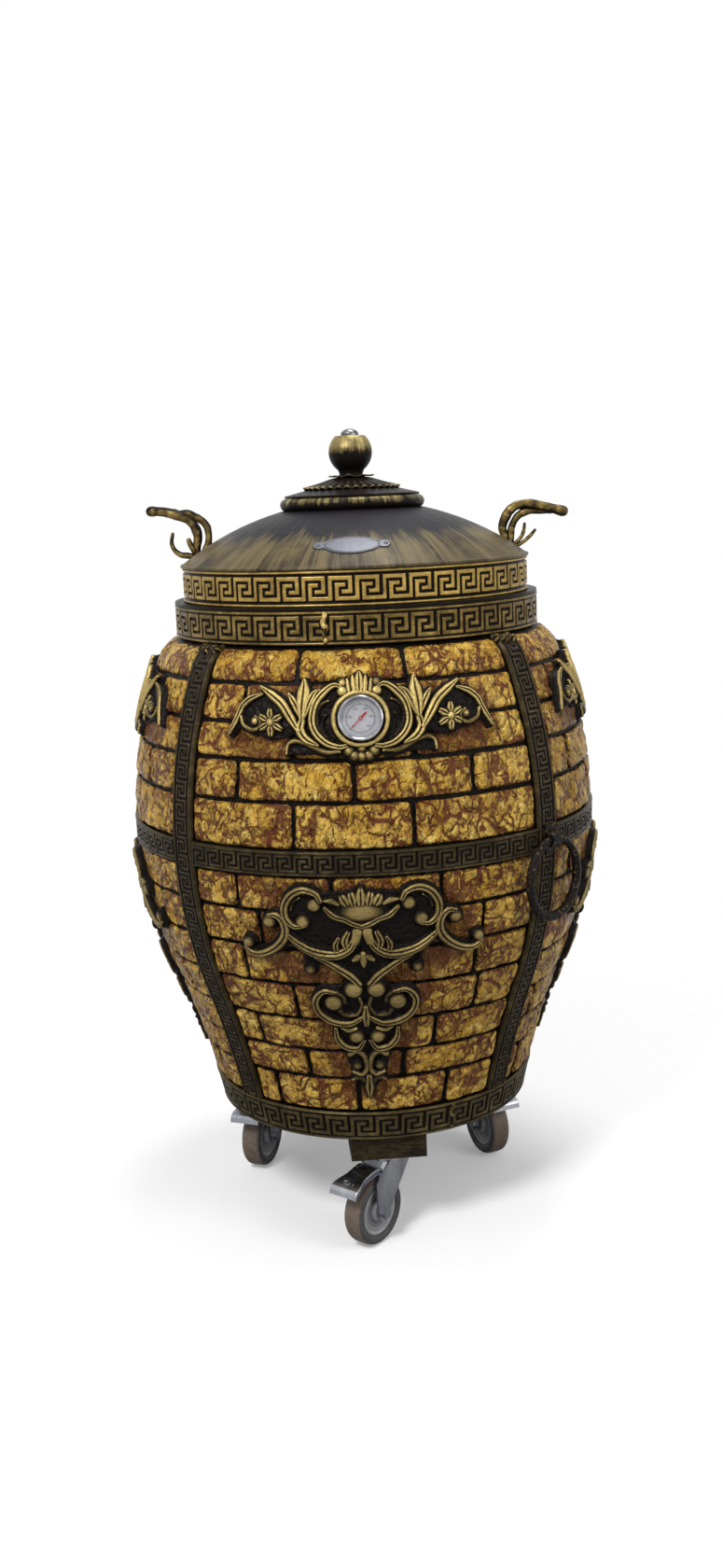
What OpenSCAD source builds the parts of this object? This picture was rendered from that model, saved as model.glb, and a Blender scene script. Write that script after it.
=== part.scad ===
// Clay tandoor oven on casters: a clay pot in an insulated brick-faced barrel,
// bound with Greek key bands, under a domed lid with a vent cap.
// Millimetres. +Z is up, the floor is z = 0, the front faces -Y, the barrel's axis is Z.
// An azimuth turns from the front (-Y) towards +X.

/* [Barrel] */
// Largest radius of the brick face
belly_r = 340; // [320:1:370]
// Height of the largest radius above the floor
belly_z = 601; // [576:1:626]
// Radius of the barrel's bulge in profile
belly_arc = 600; // [560:5:700]
// Height where the bulge hands over to the foot's hollow curve
waist_z = 386; // [366:1:416]
// How far the brick face draws in from the belly to the foot
foot_draw = 108; // [95:1:125]
// Height where the shoulder begins to roll in
shoulder_z = 838; // [831:1:848]
// Height of the top of the bricks, under the collar
neck_z = 865; // [862:1:870]
// How far the brick face draws in from the belly to its top
neck_draw = 77; // [70:1:85]

/* [Walls] */
// How far the bricks stand above the mortar
brick_depth = 7; // [5:0.5:10]
// Thickness of the cement shell behind the bricks
shell_t = 30; // [24:1:36]
// Thickness of the loose insulation behind the shell
insulation_t = 28; // [20:1:34]
// Thickness of the clay pot's wall
pot_t = 45; // [38:1:50]
// Thickness of the clay pot's floor
pot_floor_t = 45; // [35:1:55]
// Depth of insulation under the pot
floor_insulation_t = 35; // [25:1:45]
// Thickness of the steel base plate
base_plate_t = 6; // [4:0.5:8]
// Width of a mortar joint
mortar_w = 5; // [3:0.5:8]
// Bevel on a brick's long edges
brick_bevel = 3; // [1:0.5:4]
// Heights of the brick courses above the belly band, from the band up, as shares
upper_courses = [63, 54, 48, 49, 44];
// Heights of the brick courses below the belly band, from the band down, as shares
lower_courses = [51, 53, 55, 56, 51, 45, 56];
// Upright joints in each upper course, in degrees from the panel's centre
upper_joints = [[-16, 11], [-30, -2, 26], [-16, 12], [-30, -2, 25], [-16, 12]];
// Upright joints in each lower course, in degrees from the panel's centre
lower_joints = [[-31, -8, 17], [-26, 1, 28], [-32, -5, 27], [-20, 4, 29],
    [-34, -8, 18], [-20, 9], [-33, -5, 24]];

/* [Bands] */
// Azimuth of the two front straps from the front
strap_az = 47; // [44:0.5:49]
// Width of an upright strap
strap_w = 38; // [34:1:42]
// Height of the belly band's lower edge
band_z = 572; // [546:1:586]
// Height of the belly band
band_h = 34; // [30:1:40]
// Height of the base hoop
hoop_h = 45; // [40:1:50]
// Height of the collar
collar_h = 49; // [46:1:54]
// How far the collar stands out from the top of the bricks
collar_proud = 1.5; // [0.5:0.5:5]
// Width of a band's plain edge rail
rail_w = 4.5; // [3:0.5:6]
// Height of the Greek key relief
key_relief = 2.5; // [1.5:0.5:3.5]
// How far a band's rails and keys stand above the brick face
band_proud = 1.5; // [0:0.5:3]
// Number of keys round the lid band
lid_keys = 44; // [40:1:50]
// Number of keys round the collar
collar_keys = 46; // [40:1:50]
// Number of keys round the base hoop
hoop_keys = 42; // [38:1:46]
// Pitch of the keys along the belly band
band_pitch = 26; // [24:0.5:30]
// Pitch of the keys up a strap
strap_pitch = 25; // [23:0.5:28]

/* [Lid] */
// How far the lid band stands in from the collar
lid_step = 13.5; // [8:0.5:16]
// Height of the lid band
lid_band_h = 48; // [44:1:52]
// Thickness of the lid band's wall
lid_band_t = 7; // [6:0.5:10]
// Radius of the dome in profile
dome_arc = 420; // [400:5:460]
// Thickness of the dome's sheet
dome_t = 4; // [3:0.5:6]
// Thickness of the fireproof lining under the dome
liner_t = 26; // [20:1:30]
// Depth of the lining's plug in the mouth
plug_h = 26; // [15:1:35]
// Radius of the vent's bore
vent_r = 76; // [60:1:82]
// Wall of the vent sleeve
vent_wall = 3; // [2:0.5:4]
// Radius of the rolled vent collar, to its tube's centre
vent_ring_r = 96; // [90:1:100]
// Radius of the vent collar's tube
vent_tube_r = 9; // [7:0.5:10]
// Free gap between the plug and the mouth
plug_gap = 4; // [2:0.5:6]

/* [Vent cap] */
// Radius of the cap's disc
cap_r = 98; // [95:1:103]
// Thickness of the cap's disc
cap_t = 3; // [2:0.5:4]
// Rise of the cap's cone
cap_rise = 24; // [18:1:28]
// Radius of the ruffled rosette
rosette_r = 70; // [60:1:80]
// Rise of the rosette's bell
rosette_rise = 18.5; // [14:0.5:22]
// Thickness of the rosette's and star washer's sheet
petal_t = 1.5; // [1:0.25:2.5]
// Number of ruffles round the rosette
ruffles = 20; // [12:1:28]
// Radius of the star washer
star_r = 32; // [28:1:38]
// Radius of the ball knob
ball_r = 31.5; // [28:0.5:36]
// Height of the flat on the ball above its centre
ball_flat = 23; // [20:1:26]
// Radius of the ball's neck
ball_neck_r = 18; // [14:0.5:20]
// Height of the ball's centre above the star washer
ball_rise = 33; // [28:1:40]
// Radius of the cap nut
cap_nut_r = 13; // [10:0.5:15]
// Radius of the threaded stud
stud_r = 5; // [4:0.5:6]

/* [Thermometer] */
// Height of the thermometer's centre
gauge_z = 774; // [756:1:786]
// Outer radius of the bezel
gauge_r = 30; // [26:0.5:34]
// How far the bezel stands off the brick face
gauge_stand = 18; // [16:0.5:24]
// Radius of the probe
probe_r = 4; // [3:0.5:5]
// Radial clearance of the pointer on its pin
pivot_gap = 0.05; // [0.02:0.01:0.1]

/* [Ring handles] */
// Radius of a ring handle, to its bar's centre
ring_r = 54; // [48:1:60]
// Radius of the ring's bar
ring_bar_r = 5.5; // [4:0.5:7]
// Height of the ring's pivot
ring_z = 589; // [582:1:594]
// Width of the ring's bracket
staple_w = 20; // [14:1:24]
// Thickness of the ring's bracket
staple_t = 3; // [2:0.5:4]

/* [Air door] */
// Height of the air door's centre
door_z = 279; // [274:1:284]
// Width of the air duct
duct_w = 108; // [90:2:116]
// Height of the air duct
duct_h = 60; // [50:2:62]
// Wall of the air duct
duct_t = 3; // [2:0.5:4]
// Border of the door frame round the duct
frame_border = 16; // [13:1:18]
// Thickness of the door
door_t = 5; // [4:0.5:7]
// Radius of the door's hinge pin
hinge_pin_r = 3; // [2.5:0.5:4]

/* [Casters] */
// Height of a caster
caster_h = 126; // [122:1:132]
// Azimuths of the three casters
caster_az = [4.5, 121, -117];
// Where each caster's wheel trails to, as an azimuth
caster_heading = [-39, 24, -20];
// How far the caster stems stand in from the foot
caster_inset = 40; // [36:1:48]
// Radius of a wheel
wheel_r = 50; // [45:1:52]
// Width of a wheel
wheel_w = 32; // [26:1:34]
// Distance of the axle behind the stem
trail = 38; // [32:1:42]
// Height of a caster pad
pad_h = 34; // [30:1:40]
// Width of a caster pad
pad_w = 108; // [90:1:120]
// Depth of a caster pad
pad_d = 66; // [60:1:72]
// Thickness of the fork's sheet
fork_t = 3; // [2:0.5:4]
// Radius of the axle bolt
axle_r = 5; // [4:0.5:6]
// Radius of the stem bolt
stem_r = 6; // [5:0.5:8]
// Radial running clearance of the wheels, swivels and hinges
running_gap = 0.05; // [0.02:0.01:0.1]

/* [Ornaments] */
// How far the carved ornaments stand above the brick face
carve_h = 9; // [6:1:14]

/* [Hidden] */
$fn = 96;
// Gap that keeps one curved face just off another
seat = 0.3;
foot_z = caster_h + pad_h;
foot_r = belly_r - foot_draw;
neck_r = belly_r - neck_draw;
collar_r = neck_r + collar_proud;
lid_r = collar_r - lid_step;
caster_ring_r = foot_r - caster_inset;
hoop_top = foot_z + hoop_h;
band_top = band_z + band_h;
collar_top = neck_z + collar_h;
waist_run = waist_z - foot_z;

// ---- the barrel's profile ----
function arc_r(z) = belly_r - belly_arc + sqrt(pow(belly_arc, 2) - pow(z - belly_z, 2));
function arc_slope(z) = -(z - belly_z) / sqrt(pow(belly_arc, 2) - pow(z - belly_z, 2));
foot_slope = 2 * (arc_r(waist_z) - foot_r) / waist_run - arc_slope(waist_z);
function foot_curve(d) =
    foot_r + foot_slope * d + (arc_slope(waist_z) - foot_slope) / (2 * waist_run) * d * d;
// The wall without its rolled shoulder, which the inner walls follow
function wall_line(z) = z < waist_z ? foot_curve(z - foot_z) : arc_r(z);
shoulder_run = neck_z - shoulder_z;
shoulder_drop = neck_r - arc_r(shoulder_z) - arc_slope(shoulder_z) * shoulder_run;
function shoulder_curve(d) =
    arc_r(shoulder_z) + arc_slope(shoulder_z) * d + shoulder_drop * pow(d / shoulder_run, 2);
function barrel_r(z) = z <= shoulder_z ? wall_line(z) : shoulder_curve(z - shoulder_z);
function barrel_lean(z) = atan((barrel_r(z + 1) - barrel_r(z - 1)) / 2);

// Heights from low to high, closer together where the shoulder rolls in
function heights(low, high) =
    let (mid = min(max(shoulder_z, low), high),
        coarse = ceil(max(mid - low, 0.1) / 26),
        fine = ceil(max(high - mid, 0.1) / 5))
    concat([for (i = [0 : coarse]) low + (mid - low) * i / coarse],
        high > mid ? [for (i = [1 : fine]) mid + (high - mid) * i / fine] : []);
function reversed(list) = [for (i = [len(list) - 1 : -1 : 0]) list[i]];

// A skin round the barrel, its faces measured from the brick face
module skin(low, high, inner, outer, from = 0, span = 360) {
    zs = heights(low, high);
    points = concat([for (z = zs) [barrel_r(z) + outer, z]],
        [for (z = reversed(zs)) [barrel_r(z) + inner, z]]);
    rotate([0, 0, from - 90])
        rotate_extrude(angle = span)
            polygon(points);
}

// A place on the brick face: x to the right, y up the wall and z outwards
module on_barrel(az, z, out = 0) {
    rotate([0, 0, az])
        translate([0, -barrel_r(z), z])
            rotate([90 + barrel_lean(z), 0, 0])
                translate([0, 0, out])
                    children();
}

// ---- Greek key ----
function unit(v) = v / norm(v);
function side(v) = [-v[1], v[0]];
// Outline of a square-cornered stroke along a path
function stroke(path, w) =
    let (n = len(path),
        dirs = [for (i = [0 : n - 2]) unit(path[i + 1] - path[i])],
        offs = [for (i = [0 : n - 1])
            i == 0 ? side(dirs[0]) - dirs[0] :
            i == n - 1 ? side(dirs[n - 2]) + dirs[n - 2] :
            side(dirs[i - 1]) + side(dirs[i])],
        back = [for (i = [0 : n - 1])
            i == 0 ? -side(dirs[0]) - dirs[0] :
            i == n - 1 ? -side(dirs[n - 2]) + dirs[n - 2] :
            -side(dirs[i - 1]) - side(dirs[i])])
    concat([for (i = [0 : n - 1]) path[i] + offs[i] * w / 2],
        [for (i = [n - 1 : -1 : 0]) path[i] + back[i] * w / 2]);
// One key fills 8 by 7 strokes: a hook from the top and a hook from the bottom
key_top_hook = [[0, 0], [0, 6], [6, 6], [6, 2], [4, 2]];
key_low_hook = [[6.9, 0], [2, 0], [2, 4], [4, 4]];
module key(pitch, h) {
    s = pitch / 8;
    linear_extrude(h)
        translate([-3.5 * s, -3 * s]) {
            polygon([for (p = stroke(key_top_hook, 1)) p * s]);
            polygon([for (p = stroke(key_low_hook, 1)) p * s]);
        }
}

// A ring or part of a ring with edge rails and keys, straight or conical in profile
module key_ring(low, high, r_low, r_high, back, keys, from = 0, span = 360) {
    h = high - low;
    lean = atan((r_high - r_low) / h);
    r_rail = function (d) r_low + (r_high - r_low) * d / h;
    r_mid = r_rail(h / 2);
    pitch = 2 * PI * r_mid * span / 360 / keys;
    rotate([0, 0, from - 90])
        rotate_extrude(angle = span)
            polygon([[r_low - back, low], [r_low, low], [r_rail(rail_w), low + rail_w],
                [r_rail(rail_w) - key_relief, low + rail_w],
                [r_rail(h - rail_w) - key_relief, high - rail_w],
                [r_rail(h - rail_w), high - rail_w], [r_high, high], [r_high - back, high]]);
    for (i = [0 : keys - 1])
        rotate([0, 0, from + span * (i + 0.5) / keys])
            translate([0, -r_mid + key_relief + 1, (low + high) / 2])
                rotate([90 + lean, 0, 0])
                    key(pitch, key_relief + 1);
}

// ---- courses of bricks ----
function total(v, n) = n <= 0 ? 0 : v[n - 1] + total(v, n - 1);
function share(v, n) = total(v, n) / total(v, len(v));
function upper_z(i) = band_top + (neck_z - band_top) * share(upper_courses, i);
function lower_z(i) = band_z - (band_z - hoop_top) * share(lower_courses, i);
courses = concat(
    [for (i = [0 : len(upper_courses) - 1]) [upper_z(i), upper_z(i + 1), upper_joints[i]]],
    [for (i = [0 : len(lower_courses) - 1]) [lower_z(i + 1), lower_z(i), lower_joints[i]]]);
panel_az = [0, 90, 180, 270];
panel_half = [strap_az, 90 - strap_az, strap_az, 90 - strap_az];

// One brick between two azimuths
module brick(low, high, from, to) {
    zs = heights(low + brick_bevel, high - brick_bevel);
    back = heights(low, high);
    points = concat([[barrel_r(low) - brick_bevel, low]],
        [for (z = zs) [barrel_r(z), z]],
        [[barrel_r(high) - brick_bevel, high]],
        [for (z = reversed(back)) [barrel_r(z) - brick_depth + seat, z]]);
    rotate([0, 0, from - 90])
        rotate_extrude(angle = to - from)
            polygon(points);
}

module brick_course(low, high, joints) {
    r = barrel_r((low + high) / 2);
    gap_deg = mortar_w / r * 180 / PI;
    edge_deg = (strap_w / 2 + mortar_w) / r * 180 / PI;
    for (p = [0 : 3]) {
        ends = concat([-panel_half[p] + edge_deg - gap_deg / 2], joints,
            [panel_half[p] - edge_deg + gap_deg / 2]);
        for (i = [0 : len(ends) - 2])
            brick(low + mortar_w / 2, high - mortar_w / 2,
                panel_az[p] + ends[i] + gap_deg / 2, panel_az[p] + ends[i + 1] - gap_deg / 2);
    }
}

// ---- air door at the back ----
frame_w = duct_w + 2 * frame_border;
frame_h = duct_h + 2 * frame_border;
frame_back = barrel_r(door_z - frame_h / 2) - brick_depth - 8;
frame_face = barrel_r(door_z + frame_h / 2) + 4;
frame_wall = 4;
// Everything in front of the frame's seat is cut out of the wall
module door_pocket(gap) {
    translate([-frame_w / 2 - gap, frame_back, door_z - frame_h / 2 - gap])
        cube([frame_w + 2 * gap, 100, frame_h + 2 * gap]);
}
module duct_passage(gap) {
    translate([-duct_w / 2 - gap, 60, door_z - duct_h / 2 - gap])
        cube([duct_w + 2 * gap, 300, duct_h + 2 * gap]);
}
// The hole that the thermometer's socket sits in
socket_r = probe_r + 4;
case_r = gauge_r - 3;
socket_flange_r = case_r - 3;
module socket_passage(gap) {
    on_barrel(0, gauge_z)
        translate([0, 0, -200])
            cylinder(r = socket_r + gap, h = 230);
}

module brick_facing() {
    color("goldenrod")
        difference() {
            for (c = courses)
                brick_course(c[0], c[1], c[2]);
            door_pocket(seat);
            on_barrel(0, gauge_z, -brick_depth - 5)
                cylinder(r = case_r + seat, h = 40);
        }
}

shell_in = brick_depth + shell_t;
pot_out = shell_in + insulation_t;
pot_in = pot_out + pot_t;
base_top = foot_z + base_plate_t;
pot_base = base_top + floor_insulation_t;
pot_floor = pot_base + pot_floor_t;
mouth_r = wall_line(collar_top) - pot_in;
rim_t = 4;
ledge_z = door_z + duct_h / 2 + duct_t + 4;
ledge_w = 10;
collar_back = 6;

module outer_shell() {
    outside = heights(base_top, neck_z);
    inside = heights(base_top, collar_top - rim_t);
    color("dimgray")
        difference() {
            rotate_extrude()
                polygon(concat([for (z = outside) [barrel_r(z) - brick_depth, z]],
                    [[collar_r - collar_back - seat, neck_z],
                        [collar_r - collar_back - seat, collar_top - rim_t]],
                    [for (z = reversed(inside)) [wall_line(z) - shell_in, z]]));
            translate([-frame_w / 2, mouth_r, door_z - frame_h / 2])
                cube([frame_w, 300, frame_h]);
            socket_passage(seat);
            on_barrel(0, gauge_z, -brick_depth - 4)
                cylinder(r = socket_flange_r + seat, h = 40);
        }
}

// A wall round the axis between two lines that follow the barrel
module wall_ring(low, high, outer, inner) {
    rotate_extrude()
        polygon(concat([for (z = heights(low, high)) [wall_line(z) - outer, z]],
            [for (z = reversed(heights(low, high))) [wall_line(z) - inner, z]]));
}
// The room inside a line that follows the barrel
module wall_core(low, high, outer) {
    rotate_extrude()
        polygon(concat([[0, low]], [for (z = heights(low, high)) [wall_line(z) - outer, z]],
            [[0, high]]));
}

module insulation_fill() {
    color("lightgray")
        difference() {
            union() {
                wall_core(base_top, collar_top - rim_t, shell_in + seat);
                // Packed round the duct in the shell's window
                translate([seat - frame_w / 2, mouth_r, door_z - frame_h / 2 + seat])
                    cube([frame_w - 2 * seat, frame_back - seat - mouth_r, frame_h - 2 * seat]);
            }
            wall_core(pot_base, collar_top, pot_out - seat);
            duct_passage(seat);
            door_pocket(seat);
            socket_passage(seat);
        }
}

// The pot stands on a ring of hearth bricks, which leave a gap for the air duct
module clay_pot() {
    color("sienna")
        difference() {
            wall_ring(ledge_z, collar_top, pot_out, pot_in);
            socket_passage(seat);
        }
}
hearth_count = 10;
hearth_joint = 1;
module hearth_bricks() {
    zs = heights(pot_floor, ledge_z);
    turn = 360 / hearth_count;
    gap = hearth_joint / (wall_line(ledge_z) - pot_in) * 180 / PI;
    color("peru")
        difference() {
            for (i = [0 : hearth_count - 1])
                rotate([0, 0, 90 + turn * i + gap / 2])
                    rotate_extrude(angle = turn - gap)
                        polygon(concat([for (z = zs) [wall_line(z) - pot_out, z]],
                            [for (z = reversed(zs)) [wall_line(z) - pot_in - ledge_w, z]]));
            translate([-duct_w / 2 - seat, 60, pot_floor - 1])
                cube([duct_w + 2 * seat, 300, ledge_z - pot_floor + 2]);
        }
}
module hearth_floor() {
    color("peru")
        wall_core(pot_base, pot_floor, pot_out);
}

module base_plate() {
    color("dimgray")
        translate([0, 0, foot_z])
            difference() {
                cylinder(r = foot_r - brick_depth - seat, h = base_plate_t);
                for (i = [0 : 2])
                    at_stem(i)
                        for (x = [-1, 1])
                            translate([x * pad_bolt_x, 0, -1])
                                cylinder(r = pad_bolt_r + seat, h = base_plate_t + 2);
            }
}

module base_hoop() {
    color("darkolivegreen")
        key_ring(foot_z, hoop_top, foot_r + band_proud, barrel_r(hoop_top) + band_proud,
            brick_depth + band_proud - seat, hoop_keys);
}

module belly_band() {
    edge = (strap_w / 2 + 1) / belly_r * 180 / PI;
    color("darkolivegreen")
        for (p = [0 : 3]) {
            span = 2 * (panel_half[p] - edge);
            keys = floor(belly_r * span * PI / 180 / band_pitch);
            key_ring(band_z, band_top, barrel_r(band_z) + band_proud,
                barrel_r(band_top) + band_proud, brick_depth + band_proud - 2 * seat,
                keys, panel_az[p] - span / 2, span);
        }
}

strap_azimuths = [strap_az, 180 - strap_az, 180 + strap_az, -strap_az];
module strap() {
    low = hoop_top + 0.5;
    high = neck_z - 0.5;
    rows = floor((high - low) / strap_pitch);
    intersection() {
        skin(low, high, seat - brick_depth, band_proud - key_relief, -7, 14);
        translate([-strap_w / 2, -500, 0])
            cube([strap_w, 500, 1200]);
    }
    for (x = [-1, 1])
        intersection() {
            skin(low, high, seat - brick_depth, band_proud, -7, 14);
            translate([x * (strap_w - rail_w) / 2 - rail_w / 2, -500, 0])
                cube([rail_w, 500, 1200]);
        }
    for (i = [0 : rows - 1])
        on_barrel(0, low + (high - low) * (i + 0.5) / rows, band_proud - key_relief - 1)
            rotate([0, 0, -90])
                key(strap_pitch, key_relief + 1);
}
module vertical_straps() {
    color("darkolivegreen")
        for (a = strap_azimuths)
            rotate([0, 0, a])
                strap();
}

module neck_collar() {
    color("olive")
        key_ring(neck_z, collar_top - rim_t, collar_r, collar_r, collar_back, collar_keys);
}

module rim_plate() {
    color("dimgray")
        translate([0, 0, collar_top - rim_t])
            difference() {
                cylinder(r = collar_r, h = rim_t);
                translate([0, 0, -1])
                    cylinder(r = wall_line(collar_top - rim_t) - pot_out + seat, h = rim_t + 2);
            }
}

// ---- ornaments: cast scrolls on a thin plate, laid on the barrel ----
// They are drawn on half a panel, x sideways along the wall and y up it
function bend(a, b, c, d, t) = (2 * b + (c - a) * t + (2 * a - 5 * b + 4 * c - d) * t * t
    + (3 * b - a - 3 * c + d) * t * t * t) / 2;
// A smooth line through points
function line_through(p, steps) =
    let (n = len(p), q = concat([2 * p[0] - p[1]], p, [2 * p[n - 1] - p[n - 2]]))
    concat([for (i = [0 : n - 2]) for (k = [0 : steps - 1])
        bend(q[i], q[i + 1], q[i + 2], q[i + 3], k / steps)], [p[n - 1]]);
// A scroll's outline: full width in the middle, narrow at both ends
function scroll_outline(p, w) =
    let (line = line_through(p, 1), n = len(line) - 1,
        dirs = [for (i = [0 : n]) unit(line[min(i + 1, n)] - line[max(i - 1, 0)])],
        half = [for (i = [0 : n]) w / 2 * (0.45 + 0.55 * sin(180 * i / n))])
    concat([for (i = [0 : n]) line[i] + side(dirs[i]) * half[i]],
        [for (i = [n : -1 : 0]) line[i] - side(dirs[i]) * half[i]]);
// Where a drawn point falls when the panel is seen square on
function seen(p, z0, rise) =
    let (z = z0 + p[1] * rise, r = barrel_r(z))
    [r * sin(p[0] / r * 180 / PI), z];

module both_halves() {
    children();
    mirror([1, 0, 0])
        children();
}
// What is drawn in 2D becomes a layer on the wall
module wall_layer(low, high, h) {
    intersection() {
        skin(low, high, seat, h, -40, 80);
        rotate([90, 0, 0])
            linear_extrude(belly_r + 2 * carve_h)
                children();
    }
}

// Width and points of each scroll, from the thermometer's centre
upper_scrolls = [
    [8, [[21, 36], [33, 43], [43, 37], [54, 25], [60, 11], [61, -6], [55, -20], [43, -31],
        [28, -36], [12, -36]]],
    [13, [[68, 51], [70, 38], [73, 20], [74, -4]]],
    [9, [[91, 34], [86, 27], [81, 17], [75, 0]]],
    [9, [[50, 38], [57, 33], [64, 22], [73, 0]]],
    [11, [[74, 2], [77, -13], [70, -25], [50, -34]]],
    [10, [[76, -14], [90, 5], [100, 20], [113, 31], [128, 42]]],
    [8, [[120, 35], [134, 31], [146, 25], [156, 17], [163, 4], [178, -20]]],
    [6, [[163, 5], [155, -8], [143, -13], [133, -10], [131, -2], [137, 3]]],
    [7, [[20, -41], [45, -41], [60, -35], [85, -27], [94, -32], [96, -44]]]];
upper_plates = [
    [[0, 44], [30, 46], [58, 22], [62, -5], [56, -24], [40, -38], [0, -44]],
    [[76, -12], [96, 16], [125, 38], [150, 24], [166, 0], [160, -12], [135, -17],
        [118, -24], [97, -20]]];
// Centre and radius of each bead
upper_beads = [[21, 39, 6.5], [138, -1, 4.5], [12, -43, 6.5]];
bead_sides = 8;
flower_at = [117, -4];
flower_r = 16;
petals = 6;
module upper_ornament(with_gauge) {
    rise = cos(barrel_lean(gauge_z));
    low = gauge_z - 56;
    high = gauge_z + 60;
    difference() {
        union() {
            wall_layer(low, high, carve_h / 3)
                both_halves()
                    for (plate = upper_plates)
                        polygon([for (p = plate) seen(p, gauge_z, rise)]);
            wall_layer(low, high, carve_h)
                both_halves() {
                    for (s = upper_scrolls)
                        polygon([for (p = scroll_outline(s[1], s[0])) seen(p, gauge_z, rise)]);
                    for (b = upper_beads)
                        translate(seen(b, gauge_z, rise))
                            circle(b[2], $fn = bead_sides);
                    translate(seen(flower_at, gauge_z, rise))
                        polygon([for (i = [0 : 2 * petals - 1])
                            flower_r * (i % 2 == 0 ? 1 : 0.68)
                                * [cos(i * 180 / petals), sin(i * 180 / petals)]]);
                }
            wall_layer(low, high, carve_h)
                translate([0, gauge_z]) {
                    circle(gauge_r + 6);
                    translate([-5, 0])
                        square([10, 56]);
                }
        }
        if (with_gauge)
            on_barrel(0, gauge_z, -5)
                cylinder(r = gauge_r + 1, h = 60);
    }
}

module upper_ornaments() {
    color("darkgoldenrod")
        for (p = [0 : 3])
            rotate([0, 0, panel_az[p]])
                upper_ornament(p == 0);
}

// Heights in the lower ornament run down from the belly band
lower_scrolls = [
    [9, [[52, -30], [58, -20], [74, -15], [90, -22], [100, -38], [99, -55], [88, -65],
        [74, -62]]],
    [10, [[123, -52], [112, -51], [102, -62], [102, -80], [114, -96], [133, -107],
        [150, -108], [160, -100]]],
    [12, [[102, -74], [86, -89], [71, -99], [52, -105], [33, -105], [18, -97], [8, -80]]],
    [9, [[48, -38], [36, -50], [22, -55], [11, -61], [-4, -64]]],
    [10, [[66, -104], [47, -116], [31, -127], [17, -138], [4, -152]]],
    [5, [[76, -96], [75, -112], [71, -124]]],
    [9, [[30, -164], [40, -160], [56, -162], [66, -176], [62, -195], [45, -209],
        [22, -212], [-3, -200]]],
    [6, [[38, -190], [28, -198], [13, -198], [5, -184], [9, -166]]],
    [9, [[41, -214], [40, -238], [28, -251], [13, -253], [3, -240]]],
    [8, [[28, -258], [15, -256], [4, -264], [2, -285], [9, -296], [20, -292]]],
    [8, [[22, -305], [12, -302], [-2, -311]]]];
lower_plates = [
    [[0, -18], [60, -22], [98, -38], [104, -76], [92, -96], [60, -104], [78, -124],
        [50, -122], [30, -134], [10, -156], [0, -160]],
    [[0, -150], [44, -158], [66, -177], [62, -198], [45, -214], [42, -236], [28, -256],
        [26, -278], [19, -298], [8, -318], [0, -324]]];
lower_beads = [[61, -36, 7], [77, -59, 7.5], [123, -61, 7], [156, -94, 6], [15, -158, 9],
    [42, -178, 9], [14, -234, 8], [15, -282, 5.5]];
module lower_ornament() {
    low = band_z - 340;
    high = band_z - 6;
    wall_layer(low, high, carve_h / 3)
        both_halves()
            for (plate = lower_plates)
                polygon([for (p = plate) seen(p, band_z, 1)]);
    wall_layer(low, high, carve_h) {
        both_halves() {
            for (s = lower_scrolls)
                polygon([for (p = scroll_outline(s[1], s[0])) seen(p, band_z, 1)]);
            for (b = lower_beads)
                translate(seen(b, band_z, 1))
                    circle(b[2], $fn = bead_sides);
        }
        // Crown, bowl, pendant and tip on the centre line
        translate([0, band_z]) {
            for (b = [[0, -21, 6.5], [0, -45, 15], [0, -212, 6]])
                translate([b[0], b[1]])
                    circle(b[2], $fn = bead_sides);
            polygon([[-5, -296], [5, -296], [4, -322], [0, -337], [-4, -322]]);
        }
    }
}

module lower_ornaments() {
    color("darkgoldenrod")
        for (a = [0, 90, 270])
            rotate([0, 0, a])
                lower_ornament();
}

// ---- casters ----
module at_stem(i) {
    rotate([0, 0, caster_az[i]])
        translate([0, -caster_ring_r, 0])
            children();
}
// Turned so that the wheel trails towards +X
module at_caster(i) {
    at_stem(i)
        rotate([0, 0, caster_heading[i] - caster_az[i] - 90])
            children();
}
pad_bolt_x = 40;
pad_bolt_r = 4;
module caster_pads() {
    color("darkolivegreen")
        for (i = [0 : 2])
            at_stem(i)
                difference() {
                    translate([-pad_w / 2, -pad_d / 2, caster_h])
                        cube([pad_w, pad_d, pad_h]);
                    translate([0, 0, caster_h - 1])
                        cylinder(r = stem_r + running_gap, h = pad_h - 4);
                    for (x = [-1, 1])
                        translate([x * pad_bolt_x, 0, caster_h - 1])
                            cylinder(r = pad_bolt_r + seat, h = pad_h + 2);
                }
}

module pad_bolts() {
    color("gray")
        for (i = [0 : 2])
            at_stem(i)
                for (x = [-1, 1])
                    translate([x * pad_bolt_x, 0, caster_h])
                        union() {
                            cylinder(r = pad_bolt_r, h = pad_h + base_plate_t);
                            translate([0, 0, -5])
                                cylinder(r = 7.5, h = 5, $fn = 6);
                        }
}

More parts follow.
